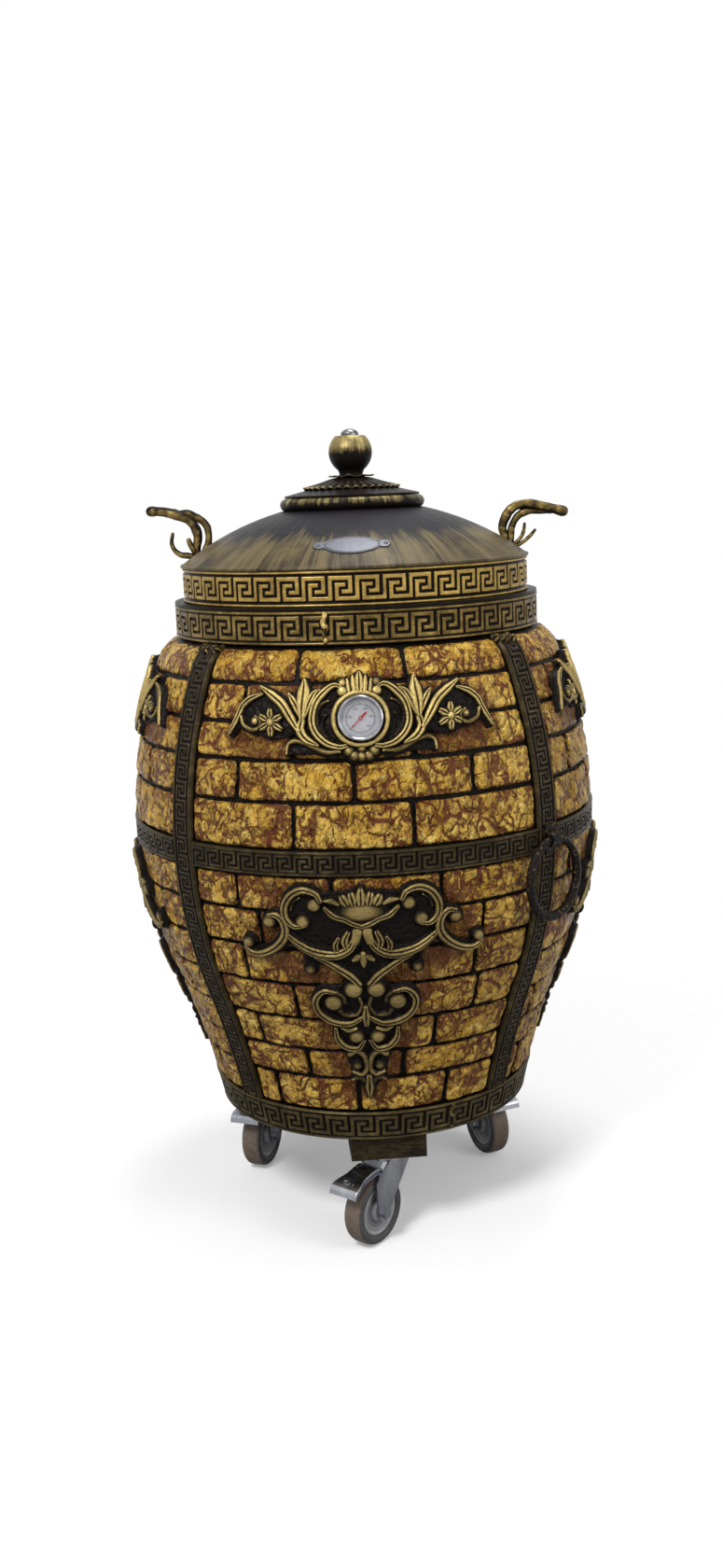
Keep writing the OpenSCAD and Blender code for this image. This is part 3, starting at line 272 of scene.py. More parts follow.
def math_node(tree, kind, a, b=0.5, clamp=False):
    n = add(tree, "Math", operation=kind, use_clamp=clamp)
    for socket, v in zip(n.inputs, (a, b)):
        if isinstance(v, (int, float)):
            socket.default_value = v
        else:
            tree.links.new(v, socket)
    return n.outputs[0]


def plus(tree, a, b):
    return math_node(tree, "ADD", a, b)


def times(tree, a, b):
    return math_node(tree, "MULTIPLY", a, b)


def larger(tree, a, b):
    return math_node(tree, "MAXIMUM", a, b)


def swing(tree, value, amount):
    """How far a noise lies off its middle, made larger or smaller by an amount."""
    return times(tree, math_node(tree, "SUBTRACT", value, 0.5), amount)


def span(tree, value, low, high, to_low=0.0, to_high=1.0):
    return add(tree, "MapRange", {"From Min": low, "From Max": high, "To Min": to_low,
                                  "To Max": to_high}, {"Value": value},
               interpolation_type="SMOOTHSTEP").outputs[0]


def blend(tree, share, a, b):
    n = add(tree, "Mix", data_type="RGBA")
    for socket, v in ((n.inputs[0], share), (n.inputs[6], a), (n.inputs[7], b)):
        if isinstance(v, (int, float, tuple)):
            socket.default_value = v
        else:
            tree.links.new(v, socket)
    return n.outputs[2]


# %% Brushed gold group
tree, gin, gout = group("brushed_gold", {"Raised": 1.0, "Amount": 0.5, "Scale": 1.0,
                                         "Dark": (0.02, 0.016, 0.012, 1),
                                         "Gold": (0.5, 0.36, 0.14, 1),
                                         "Bright": (0.75, 0.58, 0.28, 1)},
                        {"Color": "Color", "Gold": "Float", "Roughness": "Float"})
spot = add(tree, "TexCoord").outputs["Object"]
spot = add(tree, "VectorMath", links={0: spot, 1: gin.outputs["Scale"]},
           operation="MULTIPLY").outputs[0]
streak = noise(tree, add(tree, "Mapping", {"Scale": (1, 1, 3)}, {"Vector": spot}).outputs[0],
               160, 5, 0.7)
cloud = noise(tree, spot, 28, 3)
worn = plus(tree, times(tree, streak, 0.45), times(tree, cloud, 0.4))
reach = plus(tree, gin.outputs["Raised"], math_node(tree, "SUBTRACT", worn, 0.45))
reach = plus(tree, reach, math_node(tree, "SUBTRACT", gin.outputs["Amount"], 0.5))
gilt = span(tree, reach, 0.36, 0.72)
# Bright tone on the highest ridges: partly fuller gold, partly a painted highlight
tone = blend(tree, span(tree, reach, 0.62, 1.02), gin.outputs["Gold"], gin.outputs["Bright"])
tree.links.new(blend(tree, gilt, gin.outputs["Dark"], tone), gout.inputs["Color"])
tree.links.new(gilt, gout.inputs["Gold"])
tree.links.new(span(tree, streak, 0.3, 0.7, 0.28, 0.5), gout.inputs["Roughness"])
brushed_gold = tree
print("group", brushed_gold.name, len(brushed_gold.nodes), "nodes")

# %% Hand grain group
tree, gin, gout = group("hand_grain", {"Scale": 1.0}, {"Height": "Float"})
spot = add(tree, "TexCoord").outputs["Object"]
spot = add(tree, "VectorMath", links={0: spot, 1: gin.outputs["Scale"]},
           operation="MULTIPLY").outputs[0]
fine = noise(tree, spot, 420, 3)
wide = noise(tree, spot, 60, 3)
tree.links.new(plus(tree, times(tree, fine, 0.4), times(tree, wide, 0.6)),
               gout.inputs["Height"])
hand_grain = tree
print("group", hand_grain.name, len(hand_grain.nodes), "nodes")

# %% [markdown]
# ## Finishes
# Every finish ends in one Principled shader. Values that are the same all over, such as
# the metal share of a plating, sit on the shader itself; only what changes over the
# surface comes in through links.

# %% Finish helpers
def finish(name, rough=0.5, metal=0.0, coat=0.0, **more):
    """A new material with its tree and its Principled shader."""
    m = bpy.data.materials.new(name)
    m.use_nodes = True
    shader = m.node_tree.nodes["Principled BSDF"]
    shader.inputs["Roughness"].default_value = rough
    shader.inputs["Metallic"].default_value = metal
    shader.inputs["Coat Weight"].default_value = coat
    for k, v in more.items():
        shader.inputs[k.replace("_", " ")].default_value = v
    return m, m.node_tree, shader


def mark(tree, name):
    return add(tree, "Attribute", attribute_name=name).outputs["Fac"]


def paint_with(tree, shader, color, rough):
    """Links a colour and a roughness that change over the surface."""
    tree.links.new(color, shader.inputs["Base Color"])
    tree.links.new(rough, shader.inputs["Roughness"])


def bump(tree, shader, height, distance=0.001, strength=0.5):
    b = add(tree, "Bump", {"Strength": strength, "Distance": distance}, {"Height": height})
    tree.links.new(b.outputs[0], shader.inputs["Normal"])


def use(group_tree, tree, values=None, links=None):
    n = tree.nodes.new("ShaderNodeGroup")
    n.node_tree = group_tree
    for k, v in (values or {}).items():
        n.inputs[k].default_value = v
    for k, v in (links or {}).items():
        tree.links.new(v, n.inputs[k])
    return n


def gilded(name, raised=None, amount=0.5, dark=(0.007, 0.005, 0.004, 1),
           gold=(0.42, 0.30, 0.12, 1), bright=(0.68, 0.52, 0.25, 1), metal=0.55,
           scale=1.0, depth=0.0006):
    """Black paint with gold brushed over what stands up."""
    m, tree, shader = finish(name, Specular_IOR_Level=0.06)
    links = {}
    if raised:
        links["Raised"] = raised(tree) if callable(raised) else mark(tree, raised)
    values = {"Amount": amount, "Scale": scale, "Dark": dark, "Gold": gold, "Bright": bright}
    if not raised:
        values["Raised"] = 0.5
    paint = use(brushed_gold, tree, values, links)
    grain = use(hand_grain, tree, {"Scale": scale})
    paint_with(tree, shader, paint.outputs["Color"], paint.outputs["Roughness"])
    tree.links.new(times(tree, paint.outputs["Gold"], metal), shader.inputs["Metallic"])
    bump(tree, shader, grain.outputs["Height"], depth)
    return m


def cover(piece, material):
    """Gives a piece its finish."""
    piece.data.materials.clear()
    piece.data.materials.append(material)


# %% [markdown]
# ## Bricks
# The real bricks are plaster pressed with crumpled foil, cut by hand and painted yellow
# over a red-brown wash that stays in the creases. One sculpted brick could be copied round,
# but every copy would show the same creases. So the courses and their joints are listed
# first, as shares of the height and as azimuths, and each brick is then drawn alone.

# %% Where the bricks are
hoop_top, band_z, band_top = 205, 572, 606
strap_az, strap_w, mortar_w = 47, 38, 5
upper_shares = [63, 54, 48, 49, 44]
lower_shares = [51, 53, 55, 56, 51, 45, 56]
upper_joints = [[-16, 11], [-30, -2, 26], [-16, 12], [-30, -2, 25], [-16, 12]]
lower_joints = [[-31, -8, 17], [-26, 1, 28], [-32, -5, 27], [-20, 4, 29],
                [-34, -8, 18], [-20, 9], [-33, -5, 24]]
up_edges = band_top + (neck_z - band_top) * np.cumsum([0] + upper_shares) / sum(upper_shares)
low_edges = band_z - (band_z - hoop_top) * np.cumsum([0] + lower_shares) / sum(lower_shares)
courses = [(a, b, j) for a, b, j in zip(up_edges, up_edges[1:], upper_joints)]
courses += [(b, a, j) for a, b, j in zip(low_edges, low_edges[1:], lower_joints)]
panels = [(0, strap_az), (90, 90 - strap_az), (180, strap_az), (270, 90 - strap_az)]
print("courses", len(courses), "panels", len(panels))

# %% [markdown]
# The painter worked dark round the scrolls and left a red-brown halo on the bricks there.
# Its shape is simple, so it is measured from each panel's middle and kept as a mark. The
# air duct opens through the rear bricks, so its place is taken from the frame.


# %% Halo and air duct
halo_outline = [236, 286, 386, 426, 466, 546], [12, 38, 66, 80, 150, 110]


def ornament_reach(az, z):
    """How near a point is to the scrolls: 1 on them, falling to 0 away from them."""
    near = np.zeros(np.shape(az))
    for centre in (0, 90, 180, 270):
        s = np.radians((az - centre + 180) % 360 - 180) * wall_radius(z)
        upper = np.hypot(np.maximum(np.abs(s) - 130, 0), (z - 781 + np.abs(s) * 0.1) / 0.75)
        near = np.maximum(near, 1 - smooth(upper, 45, 92))
        if centre != 180:
            half = np.interp(z, *halo_outline)
            side = np.maximum(np.abs(s + 8) - half, 0)
            tall = np.maximum(np.maximum(z - 546, 248 - z), 0)
            near = np.maximum(near, 1 - smooth(np.hypot(side, tall), 6, 42))
    return near


def box_of(name):
    """The low and high corner of a node of the frame, in metres."""
    corners = [cad[name].matrix_world @ Vector(c) for c in cad[name].bound_box]
    return [Vector([pick(c[k] for c in corners) for k in range(3)]) for pick in (min, max)]


duct_low, duct_high = box_of("air_duct")
print("duct from", duct_low, "to", duct_high)

# %% [markdown]
# Each brick is a fine sheet whose edge rolls down behind the black mortar. The crumple
# function shapes three sizes of folds, turned differently on every brick, and the creases
# are kept as a mark so that the wash can sit in them.


# %% One brick
corner_r, edge_roll = 7, 5


def brick_sheet(low, high, start, end, seed):
    """One brick between two heights and two azimuths, as it was pressed and cut."""
    mid = wall_radius((low + high) / 2)
    width, tall = math.radians(end - start) * mid, high - low
    cols, rows = max(int(width / 2), 6), max(int(tall / 2), 6)
    s = np.linspace(0, width, cols + 1)
    t = np.linspace(0, tall, rows + 1)
    s, t = np.meshgrid(s, t)
    az, z = start + np.degrees(s / mid), low + t
    # Distance to the hand-cut edge, which wanders a little
    wander = 1.6 * (soft_noise(s / 17, t / 17, seed) - 0.5) + 0.7 * (
        soft_noise(s / 5, t / 5, seed + 3) - 0.5)
    edge = np.minimum(np.minimum(s, width - s), np.minimum(t, tall - t)) + wander + 0.1
    corner = corner_r - np.hypot(np.maximum(corner_r - np.minimum(s, width - s), 0),
                                 np.maximum(corner_r - np.minimum(t, tall - t), 0)) + wander
    edge = np.minimum(edge, np.where(corner < corner_r - 0.1, corner, edge))
    roll = np.clip(edge / edge_roll, 0, 1)
    roll = np.sqrt(1 - (1 - roll) ** 2)
    # The foil's own coordinates, turned and moved by the seed
    angle = 2 * math.pi * lattice(seed, 1, 5)
    c, d = math.cos(angle), math.sin(angle)
    u = (s * c + t * d) / 1.45 + 40 * lattice(seed, 2, 5)
    v = -s * d + t * c + 900 * lattice(seed, 3, 5)
    u = u + 7 * soft_noise(s / 16, t / 16, seed + 7)
    v = v + 7 * soft_noise(s / 16, t / 16, seed + 8)
    big, crease_a = crumple(u / 27, v / 27, seed)
    small, crease_b = crumple(u / 11 + 5, v / 11, seed + 9)
    fine, crease_c = crumple(u / 5, v / 5, seed + 17)
    calm = soft_noise(s / 45, t / 45, seed + 11)
    relief = 4.2 * (big - 0.1) + (1.4 + 1.8 * calm) * (small - 0.1) + 0.7 * (fine - 0.1) - 0.9
    out = -brick_depth - 0.3 + (brick_depth + 0.3 + relief) * roll
    vein = np.maximum(crease_a, crease_b * (0.25 + 0.9 * calm))
    vein = np.maximum(vein, crease_c * 0.55 * smooth(calm, 0.45, 0.8))
    points = on_wall(az, z, out)
    in_duct = ((points[..., 1] > 0) & (np.abs(points[..., 0]) < duct_high.x + 0.001)
               & (points[..., 2] > duct_low.z - 0.001) & (points[..., 2] < duct_high.z + 0.001))
    return sheet("brick", points, "oven", keep=~in_duct,
                 marks={"vein": vein, "rim": edge, "halo": ornament_reach(az, z)})


# %% [markdown]
# The bricks are laid course by course between the straps. Each laps a little into its
# joint, because its hand-cut edge wanders inwards in places.

# %% Lay the bricks
lap_z, lap_az = 0.8, 0.12
bricks = []
for low, high, joints in courses:
    mid = float(wall_radius((low + high) / 2))
    gap = math.degrees(mortar_w / mid)
    side = math.degrees((strap_w / 2 + mortar_w) / mid)
    for centre, half in panels:
        ends = [-half + side - gap / 2] + joints + [half - side + gap / 2]
        for a, b in zip(ends, ends[1:]):
            bricks.append(brick_sheet(
                low + mortar_w / 2 - lap_z, high - mortar_w / 2 + lap_z,
                centre + a + gap / 2 - lap_az, centre + b - gap / 2 + lap_az,
                len(bricks) + 1.0))
print("bricks", len(bricks))
brick_wall = join("brick_wall", bricks)
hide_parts("brick_facing")

# %% [markdown]
# Foil leaves angular facets whose edges are sharper than a sheet with steps of 2 mm can
# carry. So the finish adds them: Voronoi cells of three sizes, their coordinates shaken by
# noise so that no edge runs quite straight, and the edges kept only in some places.

# %% Foil creases
def facets(tree, spot, scale, shake):
    """Distance to the edges of angular cells, bent a little, as in crumpled foil."""
    n = add(tree, "TexNoise", {"Scale": scale * 1.6, "Detail": 3.0}, {"Vector": spot})
    off = add(tree, "VectorMath", {1: (0.5, 0.5, 0.5)}, {0: n.outputs["Color"]},
              operation="SUBTRACT").outputs[0]
    off = add(tree, "VectorMath", {"Scale": shake / scale}, {0: off},
              operation="SCALE").outputs[0]
    bent = add(tree, "VectorMath", links={0: spot, 1: off}, operation="ADD").outputs[0]
    return add(tree, "TexVoronoi", {"Scale": scale}, {"Vector": bent},
               feature="DISTANCE_TO_EDGE").outputs["Distance"]


ochre, tree, shader = finish("ochre_brick", 0.34, coat=0.03, Specular_IOR_Level=0.14,
                             Coat_Roughness=0.12)
spot = place(tree)
tall = place(tree, stretch=(1.25, 1.25, 0.7), turn=(0.25, 0.35, 0))
vein, rim, halo = (mark(tree, n) for n in ("vein", "rim", "halo"))
patch = noise(tree, spot, 14, 3)
tint = noise(tree, spot, 75, 5, 0.68)
cell_scales = 33, 66, 150
cell_a, cell_b, cell_c = (
    facets(tree, where, scale, shake)
    for where, scale, shake in zip((tall, tall, spot), cell_scales, (1.1, 1.1, 0.9)))
web_a, web_b, web_c = (
    times(tree, span(tree, cell, thin, wide, 1.0, 0.0),
          span(tree, noise(tree, spot, scale, 3), low, high))
    for cell, thin, wide, scale, low, high in (
        (cell_a, 0.03, 0.13, 26, 0.43, 0.53), (cell_b, 0.03, 0.17, 33, 0.48, 0.58),
        (cell_c, 0.04, 0.20, 42, 0.50, 0.58)))
web = larger(tree, web_a, larger(tree, web_b, times(tree, web_c, 0.4)))
print("foil cells", [round(1000 / scale) for scale in cell_scales], "mm")

# %% [markdown]
# The paint is layered as the painter did it: yellow ochre, pale cream patches laid by noise
# that are painted highlights, the red-brown wash in the creases and in a halo round the
# scrolls, and black where the mortar line was painted over the brick's edge. A clear
# varnish goes last.

# %% Brick paint
body_tone = blend(tree, span(tree, patch, 0.35, 0.65), (0.55, 0.305, 0.033, 1),
                  (0.73, 0.46, 0.085, 1))
# Pale cream patches, placed by the tint noise: painted highlights
body_tone = blend(tree, span(tree, tint, 0.50, 0.68), body_tone, (0.78, 0.58, 0.17, 1))
wash = larger(tree, span(tree, vein, 0.38, 0.8), web)
wash = math_node(tree, "MULTIPLY", wash, span(tree, tint, 0.3, 0.5, 0.7, 1.0), clamp=True)
folds = noise(tree, tall, 44, 5, 0.72)
thin_wash = times(tree, span(tree, folds, 0.52, 0.62), 0.45)
color = blend(tree, thin_wash, body_tone, (0.24, 0.085, 0.012, 1))
color = blend(tree, wash, color, (0.12, 0.030, 0.008, 1))
haze = times(tree, span(tree, plus(tree, halo, swing(tree, tint, 1.6)), 0.45, 1.1), 0.9)
color = blend(tree, haze, color, (0.115, 0.034, 0.008, 1))
near_edge = span(tree, plus(tree, rim, times(tree, tint, 5.0)), 3.5, 7.0, 0.3, 0.0)
color = blend(tree, near_edge, color, (0.14, 0.04, 0.012, 1))
inked = span(tree, plus(tree, rim, times(tree, tint, 2.0)), 1.5, 2.7, 1.0, 0.0)
color = blend(tree, inked, color, (0.004, 0.0035, 0.003, 1))
paint_with(tree, shader, color, span(tree, tint, 0.3, 0.7, 0.2, 0.42))
grain = use(hand_grain, tree)
plates = plus(tree, span(tree, cell_a, 0.0, 0.4, 0.0, 1.4), span(tree, cell_b, 0.0, 0.4, 0.0, 0.8))
plates = plus(tree, plates, times(tree, grain.outputs["Height"], 0.5))
dips = plus(tree, times(tree, web, 0.5), times(tree, folds, 0.7))
bump(tree, shader, math_node(tree, "SUBTRACT", plates, dips), 0.005, 0.9)
cover(brick_wall, ochre)
print("brick paint", len(tree.nodes), "nodes")

# %% [markdown]
# ## Mortar
# The cement shell shows between the bricks as glossy black lines. The CAD solid is right
# as it is, so it only needs its finish: black with a wet shine and small lumps.

# %% Mortar finish
black_cement, tree, shader = finish("black_cement", 0.45, Specular_IOR_Level=0.06)
lumps = noise(tree, place(tree), 90, 4)
tree.links.new(blend(tree, span(tree, lumps, 0.4, 0.8), (0.004, 0.0035, 0.003, 1),
                     (0.014, 0.009, 0.006, 1)), shader.inputs["Base Color"])
bump(tree, shader, lumps, 0.003, 0.7)
cover(cad["outer_shell"], black_cement)
print("mortar finish on", cad["outer_shell"].name)

# %% [markdown]
# ## Greek key bands
# Each band is pressed sheet with a raised key between two rails. A square-cornered key is
# a few straight strokes on a grid eight strokes wide and seven high. For every point of a
# fine sheet the distance to the nearest stroke gives its height, and softening that
# distance gives the rounded edges that paint and pressing leave.

# %% Key pattern
key_top_hook = [(0, 0), (0, 6), (6, 6), (6, 2), (4, 2)]
key_low_hook = [(6.9, 0), (2, 0), (2, 4), (4, 4)]
key_relief, rail_w, band_proud = 2.5, 4.5, 1.5
degrees_a_radian = 57


def key_distance(x, y):
    """Distance, in strokes, from the nearest key stroke; below zero is inside."""
    best = np.full(np.shape(x), 9.0)
    for hook in (key_top_hook, key_low_hook):
        for (ax, ay), (bx, by) in zip(hook, hook[1:]):
            dx = np.maximum(np.maximum(min(ax, bx) - 0.5 - x, x - max(ax, bx) - 0.5), -0.5)
            dy = np.maximum(np.maximum(min(ay, by) - 0.5 - y, y - max(ay, by) - 0.5), -0.5)
            best = np.minimum(best, np.maximum(dx, dy))
    return best


def key_band(name, low, high, radius, keys, body, start=0.0, arc=360.0, step=1.15):
    """A band round the axis, its radius given as a function of height."""
    h = high - low
    mid = float(radius((low + high) / 2))
    length = math.radians(arc) * mid
    cols, rows = int(length / step), int(h / step)
    a = np.linspace(0, arc, cols + 1)[:-1] if arc == 360 else np.linspace(0, arc, cols + 1)
    z = np.linspace(low, high, rows + 1)
    a, z = np.meshgrid(a, z)
    stroke = length / keys / 8
    x = (a / arc * keys) % 1 * 8 - 0.5
    y = (z - (low + high) / 2) / stroke + 3
    lift = np.clip(0.5 - (key_distance(x, y) - 0.17) * stroke / 1.1, 0, 1)
    rail = np.clip((rail_w - np.minimum(z - low, high - z)) / 1.2 + 0.5, 0, 1)
    bead = 0.5 * np.sin(np.pi * np.clip(np.minimum(z - low, high - z) / rail_w, 0, 1))
    raised = np.maximum(lift, rail)
    rough = soft_noise(a * mid / degrees_a_radian / 9, z / 9, 3) - 0.5
    out = (raised - 1) * key_relief + bead * rail + 0.35 * rough
    close = np.minimum(z - low, high - z) < 0.01
    out = np.where(close, -4.0, out)
    r = radius(z) + out
    t = np.radians(a + start)
    points = np.stack([r * np.sin(t), -r * np.cos(t), z], -1) * MM
    return sheet(name, points, body, marks={"raised": raised * 0.9 + 0.1 * rough},
                 loop=arc == 360)


# %% [markdown]
# Three bands run right round: on the lid, on the neck and at the foot. The same helper
# makes all of them, because only their heights, radii and number of keys differ.

# %% Round bands
collar_z, collar_top, collar_r = 865, 914, 264.5
lid_low, lid_top, lid_r = 914, 962, 251
rings = {
    "lid_key_band": ("lid_band", "lid", lid_low, lid_top, lambda z: z * 0 + lid_r, 44),
    "collar_key_band": ("neck_collar", "oven", collar_z, collar_top - 4,
                        lambda z: z * 0 + collar_r, 46),
    "hoop_key_band": ("base_hoop", "oven", foot_z, hoop_top,
                      lambda z: wall_radius(foot_z) + band_proud
                      + (z - foot_z) / (hoop_top - foot_z) * (
                          wall_radius(hoop_top) - wall_radius(foot_z)), 42)}
band_pieces = {}
for name, (node, body, low, high, radius, keys) in rings.items():
    band_pieces[name] = key_band(name, low, high, radius, keys, body)
    if name != "lid_key_band":
        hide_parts(node)
    print(name, len(band_pieces[name].data.vertices), "points")

# %% [markdown]
# The belly band is cut by the four straps, so it is made in four lengths. Each length holds
# a whole number of keys, about as long as the ones in the photograph.

# %% Belly band
belly_key = 26
parts = []
for centre, half in panels:
    edge = math.degrees((strap_w / 2 + 1) / belly_r)
    arc = 2 * (half - edge)
    keys = int(belly_r * math.radians(arc) / belly_key)
    parts.append(key_band("belly_band", band_z, band_top,
                          lambda z: wall_radius(z) + band_proud, keys, "oven",
                          centre - arc / 2, arc))
belly = join("belly_key_band", parts)
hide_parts("belly_band")
print("belly band", len(belly.data.vertices), "points")

# %% [markdown]
# ## Straps
# The four upright straps follow the barrel's curve from hoop to collar. They carry the
# same key, turned a quarter round so that it runs down the wall.

# %% Straps
strap_key = 25


def strap(az, step=1.15):
    low, high = hoop_top + 0.5, neck_z - 0.5
    count = int((high - low) / strap_key)
    zs = np.linspace(low, high, int((high - low) * 1.03 / step))
    s = np.linspace(-strap_w / 2, strap_w / 2, int(strap_w / step))
    s, z = np.meshgrid(s, zs)
    pitch = (high - low) / count
    stroke = strap_key / 8
    x = (0.5 - ((z - low) / pitch) % 1) * pitch / stroke + 3.5
    y = s / stroke + 3
    lift = np.clip(0.5 - (key_distance(x, y) - 0.17) * stroke / 1.1, 0, 1)
    side = strap_w / 2 - np.abs(s)
    rail = np.clip((rail_w - side) / 1.2 + 0.5, 0, 1)
    bead = 0.5 * np.sin(np.pi * np.clip(side / rail_w, 0, 1))
    raised = np.maximum(lift, rail)
    rough = soft_noise(s / 9 + az, z / 9, 3) - 0.5
    out = band_proud + (raised - 1) * key_relief + bead * rail + 0.35 * rough
    out = np.where(side < 0.01, -5.0, out)
    return sheet("strap", on_wall(az + np.degrees(s / wall_radius(z)), z, out), "oven",
                 marks={"raised": raised * 0.9 + 0.1 * rough})


straps = join("key_straps", [strap(a) for a in (47, 133, 227, 313)])
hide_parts("vertical_straps")
print("strap points", len(straps.data.vertices))

# %% [markdown]
# The bands were all brushed with gold, but the ones on the lid and the neck show more of
# it. So they share one finish, and each gets its own amount and tone.

# %% Band finishes
bright_band = gilded("bright_band", "raised", 0.44, gold=(0.17, 0.105, 0.026, 1),
                     bright=(0.55, 0.375, 0.105, 1))
collar_band = gilded("collar_band", "raised", 0.34, gold=(0.12, 0.078, 0.022, 1),
                     bright=(0.46, 0.32, 0.10, 1))
dark_band = gilded("dark_band", "raised", 0.25, gold=(0.05, 0.036, 0.016, 1),
                   bright=(0.27, 0.20, 0.085, 1), metal=0.4)
hoop_band = gilded("hoop_band", "raised", 0.28, gold=(0.075, 0.056, 0.022, 1),
                   bright=(0.26, 0.20, 0.08, 1), metal=0.4)
cover(band_pieces["lid_key_band"], bright_band)
cover(band_pieces["collar_key_band"], collar_band)
cover(band_pieces["hoop_key_band"], hoop_band)
for piece in (belly, straps):
    cover(piece, dark_band)
print("bands", [m.name for m in (bright_band, collar_band, dark_band, hoop_band)])

# %% [markdown]
# ## Scroll ornaments
# The ornaments are thin castings laid over the bricks. Each is drawn on half a panel as
# strokes: a path, a width that swells and tapers, a height, and how many grooves run
# along it. A rounded bar is stamped along every path into a fine height map, always
# keeping the higher value, and the map is then wrapped round the barrel.

# %% Relief helpers
def curve(points, step=0.8):
    """A smooth path through the points in small steps, and the share run at each."""
    p = np.array(points, float)
    if len(p) == 1:
        return p, np.zeros(1)
    p = np.vstack([2 * p[0] - p[1], p, 2 * p[-1] - p[-2]])
    spans = []
    for a, b, c, d in zip(p, p[1:], p[2:], p[3:]):
        n = max(int(np.linalg.norm(c - b) / step), 1)
        t = np.linspace(0, 1, n, endpoint=False)[:, None]
        spans.append(0.5 * (2 * b + (c - a) * t + (2 * a - 5 * b + 4 * c - d) * t ** 2
                            + (3 * b - a - 3 * c + d) * t ** 3))
    path = np.vstack(spans + [p[-2:-1]])
    run = np.concatenate([[0], np.cumsum(np.linalg.norm(np.diff(path, axis=0), axis=1))])
    return path, run / run[-1]


def relief_grid(width, low, high, step=1.0):
    x, y = np.arange(-width, width + step, step), np.arange(low, high + step, step)
    return x, y, np.zeros((len(y), len(x)))


def stamp(grid, points, widths, height, grooves=0, base=2.5, both=True):
    """Lays one stroke, and its mirror image, into the height map."""
    x, y, h = grid
    path, run = curve(points)
    half = np.interp(run, np.linspace(0, 1, len(widths)), widths) * 0.77
    lean = np.gradient(path, axis=0) if len(path) > 1 else np.array([[1.0, 0.0]])
    lean = lean / np.linalg.norm(lean, axis=1)[:, None]
    for side in (1, -1) if both else (1,):
        for (px, py), (tx, ty), r in zip(path * (side, 1), lean * (side, 1), half):
            i, j = np.searchsorted(x, (px - r, px + r)), np.searchsorted(y, (py - r, py + r))
            dx, dy = np.meshgrid(x[i[0]:i[1]] - px, y[j[0]:j[1]] - py)
            d = np.hypot(dx, dy) / r
            bar = np.sqrt(np.clip(1 - d * d, 0, 1))
            if grooves:
                across = (dy * tx - dx * ty) / r
                line = 0.5 + 0.5 * np.cos(math.pi * (grooves + 1) * (across + 1))
                bar = bar * (1 - 0.36 * line ** 3)
            tall = np.where(d < 1, base + (height - base) * bar, 0)
            patch = h[j[0]:j[1], i[0]:i[1]]
            np.maximum(patch, tall, out=patch)


def fill(grid, outline, height):
    """A flat plate behind the scrolls, given by half its outline."""
    x, y, h = grid
    gx, gy = np.meshgrid(np.abs(x), y)
    inside = np.zeros(gx.shape, bool)
    for (ax, ay), (bx, by) in zip(outline, outline[1:] + outline[:1]):
        if ay != by:
            crossing = (ay > gy) != (by > gy)
            inside ^= crossing & (gx < (bx - ax) * (gy - ay) / (by - ay) + ax)
    np.maximum(h, np.where(inside, height, 0), out=h)


def cast(name, grid, az, z_of):
    """Wraps a height map round the barrel; its rim turns down into the bricks."""
    x, y, h = grid
    skirt = h > 0.2
    for _ in range(2):
        skirt = skirt | np.roll(skirt, 1, 0) | np.roll(skirt, -1, 0)
        skirt = skirt | np.roll(skirt, 1, 1) | np.roll(skirt, -1, 1)
    h = np.where(skirt, np.maximum(h, 1.4), h)
    solid = h > 0.2
    wide, low = solid.copy(), h.copy()
    for axis in (0, 1):
        for way in (1, -1):
            wide |= np.roll(solid, way, axis)
    for _ in range(3):
        low = (low + np.roll(low, 1, 0) + np.roll(low, -1, 0)
               + np.roll(low, 1, 1) + np.roll(low, -1, 1)) / 5
    gx, gy = np.meshgrid(x, y)
    z = z_of(gy)
    worked = (0.6 + 1.6 * (h < 2.6)) * (soft_noise(gx / 4 + 50, gy / 4, 4) - 0.5)
    out = np.where(solid, h + worked + 1.2, -5.0)
    raised = np.clip(0.34 + (h - low) / 2.2 + (h - 6.5) / 4.5, 0, 1) * (h > 2.6)
    return sheet(name, on_wall(az + np.degrees(gx / wall_radius(z)), z, out), "oven",
                 keep=wide, marks={"raised": raised})


# %% [markdown]
# The upper ornament frames the thermometer: two big C scrolls, a lotus on each side, an
# arm with a six-petal flower, and a small crown and shell. Numbers are millimetres from
# the gauge's centre, on the right half only.

# %% Scrolls round the thermometer
def frame_scrolls(g):
    """The C scrolls round the gauge and the lotus beside them."""
    stamp(g, [(21.4, 36.7), (26, 42), (33, 43), (42.9, 36.7), (53.8, 24.9), (59.9, 10.7),
              (61.1, -5.9), (55, -20), (42.9, -30.8), (28.5, -35.5), (19, -34.4)],
          [4, 8, 8, 8, 5], 10, 1)
    stamp(g, [(21.4, 35.5)], [11], 10)
    stamp(g, [(40, 24), (47, 21), (53, 14), (55.5, 3), (52.6, -10.7), (42.9, -22.5)],
          [3, 4.5, 4, 3], 7)
    stamp(g, [(44, 6), (47.5, 0), (48.5, -8), (45, -18), (36, -27)], [2.5, 4, 3], 6)
    stamp(g, [(68.5, 51), (70, 38), (73, 20), (74.2, 0)], [3, 13, 12, 5], 12, 1)
    stamp(g, [(91, 34), (86.5, 27), (81, 17), (76, 4)], [2, 8, 8, 4], 10, 1)
    stamp(g, [(50.2, 38), (57.5, 33), (64, 22), (71, 4)], [2, 8, 8, 4], 10, 1)
    stamp(g, [(74, 0), (77, -13), (69.8, -25), (55, -33)], [7, 10, 9, 3], 10, 1)


